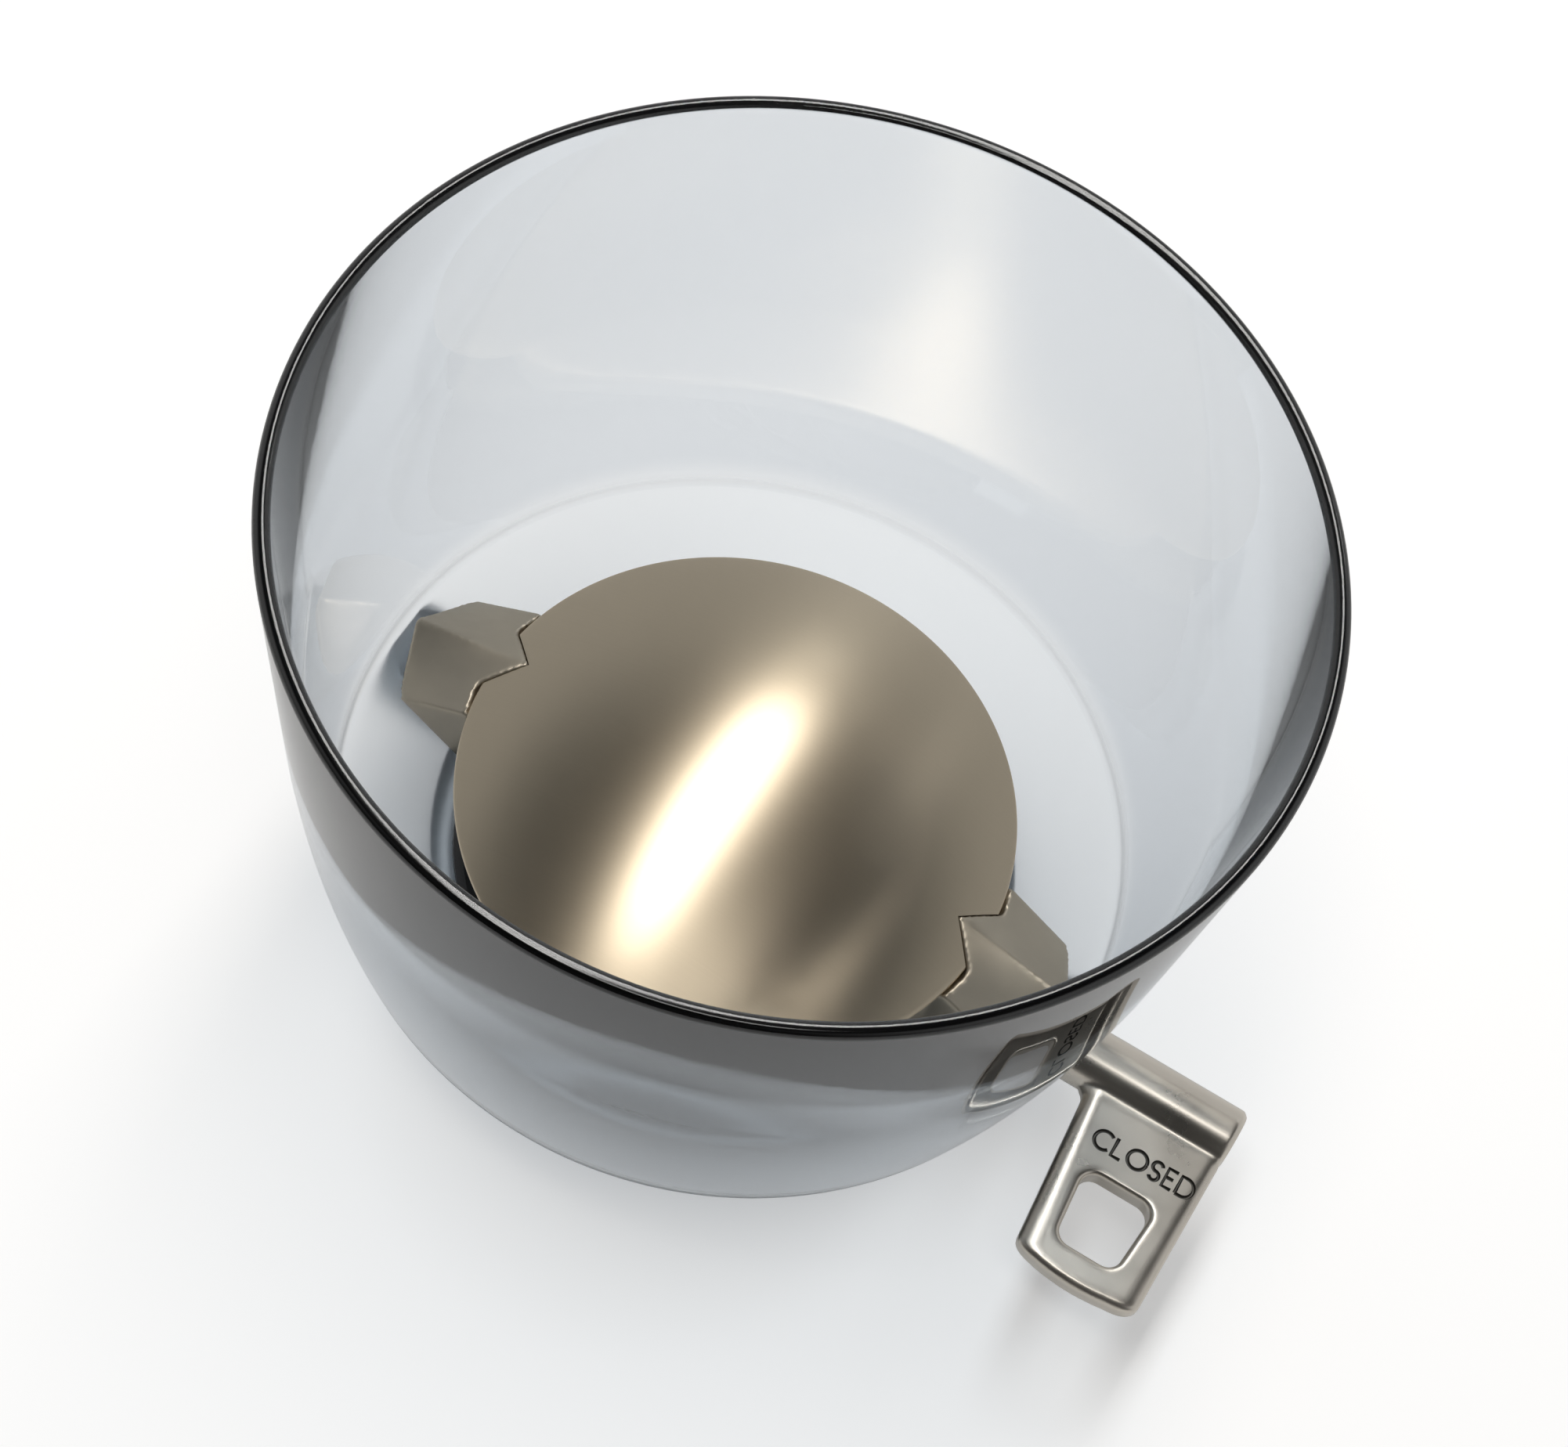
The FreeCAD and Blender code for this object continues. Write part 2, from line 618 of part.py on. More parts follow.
# Rubber ring under the neck
def make_neck_gasket():
    body = new_body("neck_gasket")
    revolution(body, "gasket_ring", [
        (d.gasket_inner, 0),
        (d.flange_radius, 0),
        (d.flange_radius, d.flange_foot),
        (d.gasket_inner, d.flange_foot),
    ])
    return body


# Bridge: cast ring with two faceted arms
def arm_section(x, ridge, eave, foot):
    """The arm's roof-shaped section at one place along the shaft."""
    half = d.arm_half.value
    spots = [(x, -half, foot), (x, -half, eave), (x, 0, ridge), (x, half, eave), (x, half, foot), (x, -half, foot)]
    return Part.makePolygon([FreeCAD.Vector(*spot) for spot in spots])


def arm_solid():
    """One arm's outer form: a ridged roof that falls outwards and ends in a point."""
    start, tip = d.arm_start.value, d.arm_tip.value
    shoulder, half = d.arm_shoulder.value, d.arm_half.value
    root = d.bridge_inner.value + d.arm_bite.value
    ridge_fall = (d.ridge_end.value - d.ridge_start.value) / (tip - start)
    eave_fall = (d.eave_end.value - d.eave_start.value) / (shoulder - start)
    sections = []
    for x in (root, tip + d.arm_bite.value):
        ridge = d.ridge_start.value + ridge_fall * (x - start)
        eave = d.eave_start.value + eave_fall * (x - start)
        sections.append(arm_section(x, ridge, eave, 0))
    roof = Part.makeLoft(sections, True, True)
    plan = [(root, -half), (shoulder, -half), (tip, 0), (shoulder, half), (root, half)]
    wire = Part.makePolygon([FreeCAD.Vector(x, y, 0) for x, y in plan + plan[:1]])
    prow = Part.Face(wire).extrude(FreeCAD.Vector(0, 0, d.rim_height.value))
    tip_edges = [edge for edge in prow.Edges
                 if all(abs(v.X - tip) < 0.01 and abs(v.Y) < 0.01 for v in edge.Vertexes)]
    prow = prow.makeFillet(d.tip_round.value, tip_edges)
    return roof.common(prow)


def notch_wedge(name, gap=0):
    """The wedge of the dome's edge that an arm's ridge comes through, grown inwards by a gap."""
    body = new_body(name)
    sketch = new_sketch(body, name + "_outline", "XY_Plane")
    apex = d.arm_start - gap
    slope = d.notch_half / (d.dome_radius - d.arm_start)
    spread = slope * (d.arm_tip - apex)
    outline(sketch, [(apex, 0), (d.arm_tip, -spread), (d.arm_tip, spread)])
    pad = body.newObject("PartDesign::Pad", name + "_pad")
    pad.Profile = sketch
    bind(pad, Length=d.rim_height)
    return body


def make_bridge():
    outer = doc.addObject("Part::Feature", "arm_form")
    outer.Shape = arm_solid()
    # The room over the funnel that an arm may fill, down to the funnel's face
    room_body = new_body("arm_room")
    lift = d.seat_gap * 3
    revolution(room_body, "arm_room_section", [
        (0, d.arm_under),
        (insert_radius, d.arm_under),
        (insert_radius, d.funnel_foot + lift),
        (d.floor_radius, d.floor_height + lift),
        (d.floor_radius, d.rim_height),
        (0, d.rim_height),
    ])
    seated = common("arm_seated", outer, room_body)
    hollow = cylinder("arm_hollow", d.boss_radius + d.boss_gap, d.boss_end - d.boss_start + d.arm_bite * 2,
                      x=d.boss_start - d.arm_bite, z=d.shaft_height, along="X")
    # Under the dome the arm follows its inside, and only the ridge comes up through the notch
    cap_height = d.dome_edge + d.dome_rise - d.bridge_foot
    over_arm = cut("dome_room", cylinder("dome_room_form", d.dome_radius + d.seat_gap, cap_height,
                                         z=d.bridge_foot),
                   sphere("dome_room_floor", dome_inner_sphere - d.seat_gap, dome_centre),
                   notch_wedge("ridge_wedge"))
    arm = cut("arm", seated, hollow, over_arm)
    other_arm = mirrored("other_arm", arm)
    ring_disc = cylinder("ring_disc", d.bridge_outer, cap_height, z=d.bridge_foot)
    ring_hole = cylinder("ring_hole", d.bridge_inner, cap_height, z=d.bridge_foot)
    ring_top = sphere("ring_top", dome_inner_sphere - d.seat_gap * 3, dome_centre)
    ring = common("ring_form", cut("ring_band", ring_disc, ring_hole), ring_top)
    lugs = [cylinder("lug%d" % count, d.lug_radius, d.bridge_foot + d.arm_bite - lug_foot(), x, y, lug_foot())
            for count, (x, y) in enumerate(screw_places(), 1)]
    whole = fuse("bridge_whole", ring, arm, other_arm, *lugs)
    depth = d.screw_top + d.pocket_gap - lug_foot()
    holes = [cylinder("lug_hole%d" % count, d.screw_radius, depth, x, y, lug_foot())
             for count, (x, y) in enumerate(screw_places(), 1)]
    holes += [cylinder("stud_hole%d" % count, d.stud_radius + d.seat_gap * 2, cap_height, 0, y, d.bridge_foot)
              for count, y in enumerate((d.stud_place, -d.stud_place), 1)]
    return cut("bridge", whole, *holes)


# Dome: spun cap, notched where the arms' roofs come through
def make_dome():
    body = new_body("dome_form")
    shrink = dome_inner_sphere / dome_sphere
    bow = dome_sphere - sink(dome_sphere, hypotenuse(d.dome_radius, d.dome_rise) / 2)
    cap = revolution(body, "dome_cap", [
        (0, d.dome_edge + d.dome_rise),
        (d.dome_radius, d.dome_edge),
        (d.dome_radius * shrink, dome_centre + (d.dome_edge - dome_centre) * shrink),
        (0, d.dome_edge + d.dome_rise - d.dome_thick),
    ], {0: -bow, 2: bow * shrink})
    round_edges(body, cap, "dome_lip_round", d.dome_lip,
                lambda spot: near(off_axis(spot), d.dome_radius))
    notch = notch_wedge("dome_notch", d.seat_gap * 2)
    notched = cut("dome_notched", body, notch, mirrored("dome_other_notch", notch))
    foot = d.bridge_foot - d.nut_thick - d.pocket_gap
    reach = dome_centre + sink(dome_inner_sphere + d.dome_thick / 3, d.stud_place) - foot
    studs = [cylinder("stud%d" % count, d.stud_radius, reach, 0, y, foot)
             for count, y in enumerate((d.stud_place, -d.stud_place), 1)]
    return fuse("dome", notched, *studs)


def hexagon(name, flats, thick, x, y, z):
    """A hexagonal prism with the given size across its flats."""
    prism = doc.addObject("Part::Prism", name)
    prism.Polygon = 6
    bind(prism, Circumradius=flats / math.sqrt(3), Height=thick)
    return place(prism, x, y, z)


def make_dome_nuts():
    nuts = []
    for count, y in enumerate((d.stud_place, -d.stud_place), 1):
        foot = d.bridge_foot - d.nut_thick
        form = hexagon("nut_form%d" % count, d.nut_flats, d.nut_thick, 0, y, foot)
        hole = cylinder("nut_hole%d" % count, d.stud_radius + d.seat_gap, d.nut_thick, 0, y, foot)
        nuts.append(cut("nut%d" % count, form, hole))
    return group("dome_nuts", nuts)


def make_clamp_screws():
    screws = []
    head_foot = d.flange_foot + screw_recess
    for count, (x, y) in enumerate(screw_places(), 1):
        head = cylinder("screw_head%d" % count, d.screw_head, d.screw_head_thick, x, y, head_foot)
        shank = cylinder("screw_shank%d" % count, d.screw_radius - d.seat_gap,
                         d.screw_top - head_foot, x, y, head_foot)
        socket = hexagon("screw_socket%d" % count, d.socket_flats, d.screw_head_thick / 2, x, y, head_foot)
        screws.append(cut("screw%d" % count, fuse("screw_form%d" % count, head, shank), socket))
    return group("clamp_screws", screws)


# Shaft and its bearings
def along_shaft(name, radius, start, stop):
    """A cylinder on the shaft's axis between two places."""
    return cylinder(name, radius, stop - start, x=start, z=d.shaft_height, along="X")


def shaft_groove(name, depth, start, stop):
    """The ring that a groove takes from the shaft between two places."""
    return cut(name + "_form", along_shaft(name + "_band", d.shaft_radius + OVER, start, stop),
               along_shaft(name + "_core", d.shaft_radius - depth, start - OVER, stop + OVER))


def make_shaft():
    rod = along_shaft("shaft_rod", d.shaft_radius, -d.shaft_inner_end, d.shaft_outer_end)
    clip_groove = shaft_groove("clip_groove", d.clip_groove, clip_place - d.face_gap,
                               clip_place + d.clip_thick + d.face_gap)
    half = d.ball_radius * 0.8
    band = shaft_groove("detent_groove", d.dimple_depth, d.detent_place - half, d.detent_place + half)
    flat_start = d.grub_place - d.grub_radius * 2
    flat = box("grub_flat_form", flat_start, -d.shaft_radius, d.shaft_height - d.shaft_radius - OVER,
               d.shaft_outer_end - flat_start + OVER, d.shaft_radius * 2, d.grub_flat + OVER)
    pin_holes = [cylinder("shaft_pin_hole%d" % count, d.pin_radius + d.seat_gap, d.shaft_radius * 4,
                          x, 0, d.shaft_height - d.shaft_radius * 2)
                 for count, x in enumerate(pin_places(), 1)]
    bare = cut("shaft_bare", rod, clip_groove, band, flat, *pin_holes)
    doc.recompute()
    ends = doc.addObject("Part::Chamfer", "shaft")
    ends.Base = bare
    names = edges_where(bare.Shape, lambda spot: near(spot.x, -d.shaft_inner_end))
    chamfer = d.shaft_chamfer.value
    ends.Edges = [(int(name.removeprefix("Edge")), chamfer, chamfer) for name in names]
    return ends


def pin_places():
    """Places of the shutter's pins along the shaft."""
    place_x = d.shutter_half_x - d.hub_length + d.pin_radius * 2
    return [place_x, -place_x]


def make_outer_bush():
    stop = d.boss_end
    form = fuse("outer_bush_form",
                along_shaft("outer_bush_sleeve", d.bush_radius, stop - d.bush_length + d.seat_gap, stop),
                along_shaft("outer_bush_flange", d.bush_flange_radius, stop, stop + d.bush_flange))
    bore = along_shaft("outer_bush_bore", d.shaft_radius + d.running_gap, stop - d.bush_length - OVER,
                       stop + d.bush_flange + OVER)
    guide = cylinder("outer_bush_guide", d.ball_radius + d.running_gap, d.bush_radius * 2,
                     x=d.detent_place, z=d.shaft_height - d.bush_radius * 2)
    return cut("outer_bush", form, bore, guide)


def make_inner_bush():
    start = -d.shaft_inner_end
    return cut("inner_bush", along_shaft("inner_bush_form", d.bush_radius, start, start + d.bush_length),
               along_shaft("inner_bush_bore", d.shaft_radius + d.running_gap, start - OVER,
                           start + d.bush_length + OVER))


def make_shaft_seal():
    ring = doc.addObject("Part::Torus", "shaft_seal")
    bind(ring, Radius1=d.shaft_radius + d.ring_section + d.seat_gap, Radius2=d.ring_section)
    middle = (d.boss_end + d.bush_flange + d.lever_start) / 2
    return place(ring, middle, 0, d.shaft_height, (0, 1, 0), 90)


def make_thrust_washer():
    start = d.boss_start - d.washer_thick
    stop = d.boss_start - d.face_gap
    return cut("thrust_washer", along_shaft("washer_form", d.washer_radius, start, stop),
               along_shaft("washer_bore", d.shaft_radius + d.running_gap * 2, start - OVER, stop + OVER))


def make_retaining_clip():
    start = clip_place
    stop = clip_place + d.clip_thick - d.face_gap
    form = along_shaft("clip_form", d.clip_radius, start, stop)
    bore = along_shaft("clip_bore", d.shaft_radius - d.clip_groove + d.seat_gap, start - OVER, stop + OVER)
    half_mouth = d.shaft_radius * 0.6
    mouth = box("clip_mouth", start - OVER, -half_mouth, d.shaft_height,
                d.clip_thick + OVER * 2, half_mouth * 2, d.clip_radius + OVER)
    return cut("retaining_clip", form, bore, mouth)


# Shutter: curved shell with two cheeks and hubs
def make_shutter():
    half_x = d.shutter_half_x
    rind = cut("shutter_rind", along_shaft("shutter_outside", shutter_radius, -half_x, half_x),
               along_shaft("shutter_inside", shutter_radius - d.shutter_thick, -half_x - OVER, half_x + OVER))
    lower = box("shutter_lower", -half_x, -d.shutter_half_y, d.shaft_height - shutter_radius - OVER,
                half_x * 2, d.shutter_half_y * 2, shutter_radius)
    shell = common("shutter_shell", rind, lower)
    pieces = [shell]
    for side, start in (("outer", half_x - d.cheek_thick), ("blind", -half_x)):
        body = new_body(side + "_cheek_form")
        sketch = new_sketch(body, side + "_cheek_section", "YZ_Plane")
        low = d.shaft_height - sink(shutter_radius - d.shutter_thick / 2, d.shutter_half_y)
        outline(sketch, [(-d.shutter_half_y, low), (d.shutter_half_y, low),
                         (d.hub_radius, d.shaft_height), (-d.hub_radius, d.shaft_height)])
        pad = body.newObject("PartDesign::Pad", side + "_cheek_pad")
        pad.Profile = sketch
        bind(pad, Length=d.cheek_thick)
        sketch.setExpression("AttachmentOffset.Base.z", start.text)
        pieces.append(body)
        disc = along_shaft(side + "_disc_form", shutter_radius, start, start + d.cheek_thick)
        disc_height = shutter_radius + OVER - sink(shutter_radius, d.shutter_half_y) + d.shutter_thick / 3
        disc_box = box(side + "_disc_lower", start, -d.shutter_half_y, d.shaft_height - shutter_radius - OVER,
                       d.cheek_thick, d.shutter_half_y * 2, disc_height)
        pieces.append(common(side + "_cheek_disc", disc, disc_box))
    pieces.append(along_shaft("outer_hub", d.hub_radius, half_x - d.hub_length, half_x))
    pieces.append(along_shaft("blind_hub", d.hub_radius, -half_x, -half_x + d.hub_length))
    bore = along_shaft("shutter_bore", d.shaft_radius + d.seat_gap, -half_x - OVER, half_x + OVER)
    holes = [cylinder("hub_pin_hole%d" % count, d.pin_radius + d.seat_gap, (d.hub_radius + OVER) * 2,
                      x, 0, d.shaft_height - d.hub_radius - OVER)
             for count, x in enumerate(pin_places(), 1)]
    return cut("shutter", fuse("shutter_form", *pieces), bore, *holes)


def make_shutter_pins():
    length = (d.hub_radius - d.pocket_gap) * 2
    return group("shutter_pins", [cylinder("shutter_pin%d" % count, d.pin_radius, length,
                                           x, 0, d.shaft_height - length / 2)
                                  for count, x in enumerate(pin_places(), 1)])


def make_shutter_seal():
    half_x = d.trough_half - d.seat_gap
    strip = cut("seal_rind", along_shaft("seal_outside", d.trough_radius - d.seat_gap, -half_x, half_x),
                along_shaft("seal_inside", seal_inner, -half_x - OVER, half_x + OVER))
    foot = d.shaft_height - d.trough_radius - OVER
    lower = box("seal_lower", -half_x, -d.seal_half_y, foot, half_x * 2, d.seal_half_y * 2, d.trough_radius)
    opening = box("seal_opening", -d.throat_half_x, -d.throat_half_y, foot,
                  d.throat_half_x * 2, d.throat_half_y * 2, d.trough_radius)
    return cut("shutter_seal", common("seal_form", strip, lower), opening)


# Detent
def make_detent_ball():
    ball = doc.addObject("Part::Sphere", "detent_ball")
    bind(ball, Radius=d.ball_radius)
    return place(ball, x=d.detent_place, z=d.shaft_height - axis_to_ball)


def make_detent_spring():
    spring = doc.addObject("Part::Feature", "detent_spring")
    top = d.shaft_height.value - axis_to_ball.value - d.ball_radius.value - d.face_gap.value
    foot = d.detent_boss_foot.value + d.plug_length.value + d.face_gap.value
    wire = d.spring_wire.value
    mean = d.ball_radius.value - wire - d.seat_gap.value * 2
    height = top - foot - wire * 2
    helix = Part.makeHelix(height / SPRING_TURNS, height, mean)
    start = FreeCAD.Vector(mean, 0, 0)
    circle = Part.Wire(Part.Edge(Part.Circle(start, FreeCAD.Vector(0, 1, 0), wire)))
    spring.Shape = Part.Wire(helix.Edges).makePipeShell([circle], True, True)
    spring.Placement = FreeCAD.Placement(FreeCAD.Vector(d.detent_place.value, 0, foot + wire), FreeCAD.Rotation())
    return spring


def make_detent_screw():
    plug = cylinder("plug_form", d.plug_radius, d.plug_length, x=d.detent_place, z=d.detent_boss_foot)
    socket = hexagon("plug_socket", d.socket_flats, d.plug_length / 2, d.detent_place, 0, d.detent_boss_foot)
    return cut("detent_screw", plug, socket)


# Lever: cast tube and tapered plate with a finger hole
def make_lever():
    body = new_body("lever")
    sketch = new_sketch(body, "plate_outline", "XY_Plane")
    outline(sketch, [
        (d.plate_inner, 0),
        (d.plate_inner_end, -d.plate_reach),
        (d.plate_outer_end, -d.plate_reach),
        (d.plate_outer, 0),
    ], {1: d.plate_bow})
    sketch.setExpression("AttachmentOffset.Base.z", d.shaft_height.text)
    plate = body.newObject("PartDesign::Pad", "plate")
    plate.Profile = sketch
    bind(plate, Length=d.plate_thick)
    plate.Midplane = True
    far = -d.plate_reach.value + 0.5
    corners = round_edges(body, plate, "plate_corners", d.plate_corner,
                          lambda spot: spot.y < far and (near(spot.x, d.plate_inner_end)
                                                         or near(spot.x, d.plate_outer_end)))
    hole_sketch = new_sketch(body, "finger_hole_outline", "XY_Plane")
    outline(hole_sketch, [
        (d.hole_inner, -d.hole_near),
        (d.hole_inner + d.hole_taper, -d.hole_far),
        (d.hole_outer - d.hole_taper, -d.hole_far),
        (d.hole_outer, -d.hole_near),
    ])
    hole_sketch.setExpression("AttachmentOffset.Base.z", d.shaft_height.text)
    hole = body.newObject("PartDesign::Pocket", "finger_hole")
    hole.Profile = hole_sketch
    hole.Type = "ThroughAll"
    hole.Midplane = True
    hole_corners = round_edges(body, hole, "hole_corners", d.hole_corner, is_hole_corner)
    hole_edges = round_edges(body, hole_corners, "hole_edge_round", d.hole_round,
                             lambda spot: on_plate_face(spot) and in_hole(spot))
    round_edges(body, hole_edges, "plate_edge_round", d.plate_round,
                lambda spot: on_plate_face(spot) and not in_hole(spot) and spot.y < SLACK)
    doc.recompute()
    tube = body_cylinder(body, "Additive", "tube", d.lever_radius, d.lever_end - d.lever_start,
                         x=d.lever_start, z=d.shaft_height, along="X")
    end_chamfer = round_edges(body, tube, "tube_chamfer", d.lever_chamfer,
                              lambda spot: near(spot.x, d.lever_end)
                              and near(off_shaft(spot), d.lever_radius), "Chamfer")
    round_edges(body, end_chamfer, "web", d.web_fillet, is_web)
    doc.recompute()
    body_cylinder(body, "Subtractive", "shaft_bore", d.shaft_radius + d.seat_gap,
                  d.shaft_outer_end + d.pocket_gap - d.lever_start + OVER,
                  x=d.lever_start - OVER, z=d.shaft_height, along="X")
    body_cylinder(body, "Subtractive", "grub_hole", d.grub_radius + d.seat_gap, d.lever_radius + OVER,
                  x=d.grub_place, z=d.shaft_height - d.lever_radius - OVER)
    return body


def on_plate_face(spot):
    """Whether a point lies on the plate's upper or lower face."""
    return near(abs(spot.z - d.shaft_height.value), d.plate_thick / 2)


def in_hole(spot):
    """Whether a point lies at the finger hole, with its rounded edge."""
    margin = d.hole_round.value + SLACK
    return (d.hole_inner.value - margin < spot.x < d.hole_outer.value + margin
            and d.hole_near.value - margin < -spot.y < d.hole_far.value + margin)


def is_hole_corner(spot):
    """Whether a point lies on one of the finger hole's corner edges."""
    taper = d.hole_taper.value
    near_side = near(spot.y, -d.hole_near) and (near(spot.x, d.hole_inner) or near(spot.x, d.hole_outer))
    far_side = near(spot.y, -d.hole_far) and (near(spot.x - taper, d.hole_inner)
                                              or near(spot.x + taper, d.hole_outer))
    return near_side or far_side


def is_web(spot):
    """Whether a point lies where the plate's flat faces meet the tube."""
    return on_plate_face(spot) and spot.y < 0 and near(off_shaft(spot), d.lever_radius)


def make_grub_screw():
    top = d.shaft_height - d.shaft_radius + d.grub_flat - d.face_gap
    foot = d.shaft_height - d.lever_radius + d.seat_gap * 2
    form = cylinder("grub_form", d.grub_radius, top - foot, x=d.grub_place, z=foot)
    socket = hexagon("grub_socket", d.grub_flats, (top - foot) / 2, d.grub_place, 0, foot)
    return cut("lever_grub_screw", form, socket)


makers = [
    make_bowl, make_valve_body, make_neck_gasket, make_bridge, make_dome, make_dome_nuts,
    make_clamp_screws, make_shaft, make_outer_bush, make_inner_bush, make_shaft_seal,
    make_thrust_washer, make_retaining_clip, make_shutter, make_shutter_pins, make_shutter_seal,
    make_detent_ball, make_detent_spring, make_detent_screw, make_lever, make_grub_screw,
]
nodes = [maker() for maker in makers]
doc.recompute()

for item in doc.Objects:
    if "Invalid" in item.State or "Error" in item.State:
        raise RuntimeError("%s failed: %s" % (item.Label, item.State))
for node in nodes:
    if node.Shape.isNull() or not node.Shape.isValid():
        raise RuntimeError("%s has no valid shape" % node.Label)

os.makedirs("parts", exist_ok=True)
for node in nodes:
    node.Shape.exportStep("parts/%s.step" % node.Label)
    print("%-18s solids %d volume %.1f" % (node.Label, len(node.Shape.Solids), node.Shape.Volume))
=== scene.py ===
"""Coffee grinder bean hopper: the looks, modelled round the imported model.

Lengths are metres, in the model's own frame: Z up along the bowl's axis, X along the shaft
towards the lever. Each operator makes one piece or one group of like pieces.
"""

import json
import math

import bpy
from mathutils import Matrix, Vector


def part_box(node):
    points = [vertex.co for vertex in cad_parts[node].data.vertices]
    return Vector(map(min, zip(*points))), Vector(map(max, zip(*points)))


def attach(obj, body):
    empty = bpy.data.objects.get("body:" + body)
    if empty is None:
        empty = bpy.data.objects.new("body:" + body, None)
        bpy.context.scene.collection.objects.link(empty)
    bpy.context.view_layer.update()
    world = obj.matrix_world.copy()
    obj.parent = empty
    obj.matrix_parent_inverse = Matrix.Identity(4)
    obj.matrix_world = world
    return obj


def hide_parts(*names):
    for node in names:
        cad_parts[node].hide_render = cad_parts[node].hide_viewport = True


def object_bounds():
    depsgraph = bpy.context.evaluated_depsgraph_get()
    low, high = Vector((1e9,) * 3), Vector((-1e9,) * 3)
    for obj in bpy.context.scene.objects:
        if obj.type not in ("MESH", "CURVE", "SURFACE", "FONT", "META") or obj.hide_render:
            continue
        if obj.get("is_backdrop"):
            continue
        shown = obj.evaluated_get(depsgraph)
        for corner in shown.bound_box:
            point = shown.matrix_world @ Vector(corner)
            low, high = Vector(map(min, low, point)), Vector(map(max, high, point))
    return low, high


bl_info = {
    "name": "Bean hopper",
    "version": (1, 0, 0),
    "blender": (4, 5, 0),
    "location": "View3D > Sidebar > Hopper",
    "description": "Builds the looks of a coffee grinder's bean hopper round its packed model",
    "category": "Object",
}

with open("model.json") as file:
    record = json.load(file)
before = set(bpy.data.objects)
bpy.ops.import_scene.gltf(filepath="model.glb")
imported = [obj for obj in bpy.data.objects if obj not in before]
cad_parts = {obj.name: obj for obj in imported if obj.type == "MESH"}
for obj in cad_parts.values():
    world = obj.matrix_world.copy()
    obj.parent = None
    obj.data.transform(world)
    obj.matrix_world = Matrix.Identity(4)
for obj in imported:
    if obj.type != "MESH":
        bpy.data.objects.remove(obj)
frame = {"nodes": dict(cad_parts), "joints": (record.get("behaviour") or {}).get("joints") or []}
CAD_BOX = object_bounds()

MM = 0.001
BOWL_LOW, BOWL_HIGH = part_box("bowl")
DOME_LOW, DOME_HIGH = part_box("dome")
LEVER_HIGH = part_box("lever")[1]
SHAFT_HEIGHT = frame["joints"][0]["pos_m"][2]


# Sizes and colours that a user would change
def length(name, note, value):
    """A length property with a default in metres."""
    return bpy.props.FloatProperty(name=name, description=note, default=value, unit="LENGTH",
                                   subtype="DISTANCE", precision=5, min=0)


def colour(name, note, value):
    """A colour property."""
    return bpy.props.FloatVectorProperty(name=name, description=note, default=value, size=3,
                                         subtype="COLOR", min=0, max=1)


def share(name, note, value):
    """A property from 0 to 1."""
    return bpy.props.FloatProperty(name=name, description=note, default=value, subtype="FACTOR",
                                   min=0, max=1)


class HopperSizes(bpy.types.PropertyGroup):
    """Sizes of the pieces that are modelled here."""

    rim_radius: length("Rim", "Outer radius of the bowl's rim", BOWL_HIGH.y)
    wall: length("Wall", "Thickness of the bowl's wall", 2.2 * MM)
    waist_radius: length("Waist", "Outer radius where the straight wall ends", 61.7 * MM)
    waist_height: length("Waist height", "Height where the straight wall ends", 64 * MM)
    wall_bulge: length("Bulge", "How far the lower wall bows out", 0.8 * MM)
    shoulder_radius: length("Shoulder", "Outer radius at the wall's foot", 55.2 * MM)
    shoulder_height: length("Shoulder height", "Height of the wall's foot", 26 * MM)
    floor_radius: length("Floor", "Inner radius where the wall meets the funnel", 54 * MM)
    floor_height: length("Floor height", "Height where the wall meets the funnel", 28 * MM)
    funnel_foot: length("Funnel foot", "Height where the funnel meets the neck", 17 * MM)
    neck_radius: length("Neck", "Outer radius of the neck", 40.4 * MM)
    neck_wall: length("Neck wall", "Thickness of the neck", 2.4 * MM)
    collar_stop: length("Collar stop", "Height of the neck's step", 9.8 * MM)
    collar_step: length("Collar step", "How far the neck's step stands out", 1.3 * MM)
    boss_radius: length("Boss", "Outer radius of the shaft's bosses", 8 * MM)
    boss_start: length("Boss start", "Where a boss starts along the shaft", 37.2 * MM)
    boss_end: length("Boss end", "Where a boss ends along the shaft", 54 * MM)
    bush_radius: length("Bush", "Radius of the bushes in the bosses", 5.05 * MM)
    dome_thick: length("Dome", "Thickness of the dome", 1.2 * MM)
    dome_rise: length("Dome rise", "Rise of the dome over its edge", 11 * MM)
    dome_lip: length("Dome lip", "Rounding of the dome's edge", 0.5 * MM)
    notch_start: length("Notch", "Where the dome's notches start along the shaft", 33.9 * MM)
    notch_half: length("Notch half width", "Half width of a notch at the dome's edge", 5.3 * MM)
    word_depth: length("Word depth", "Depth of the engraved words", 0.42 * MM)


class HopperColours(bpy.types.PropertyGroup):
    """Colours and finishes of the hopper."""

    smoke: colour("Smoke", "Tint that the clear moulding keeps", (0.43, 0.51, 0.57))
    smoke_depth: bpy.props.FloatProperty(name="Smoke depth", default=112, min=0,
                                         description="How fast the moulding absorbs light, per metre")
    dome: colour("Dome", "Brushed metal", (0.50, 0.42, 0.31))
    dome_rough: share("Dome roughness", "Roughness of the brushed metal", 0.33)
    casting: colour("Casting", "Satin cast metal of the bridge", (0.40, 0.355, 0.285))
    lever: colour("Lever", "Satin nickel of the lever", (0.56, 0.52, 0.46))
    steel: colour("Steel", "Turned steel of the shaft and fasteners", (0.56, 0.56, 0.55))
    plastic: colour("Dark plastic", "Moulded insert in the neck", (0.022, 0.023, 0.026))
    bearing: colour("Bearing plastic", "Natural plastic of the bushes", (0.72, 0.70, 0.64))
    rubber: colour("Rubber", "Seals and gasket", (0.018, 0.018, 0.02))


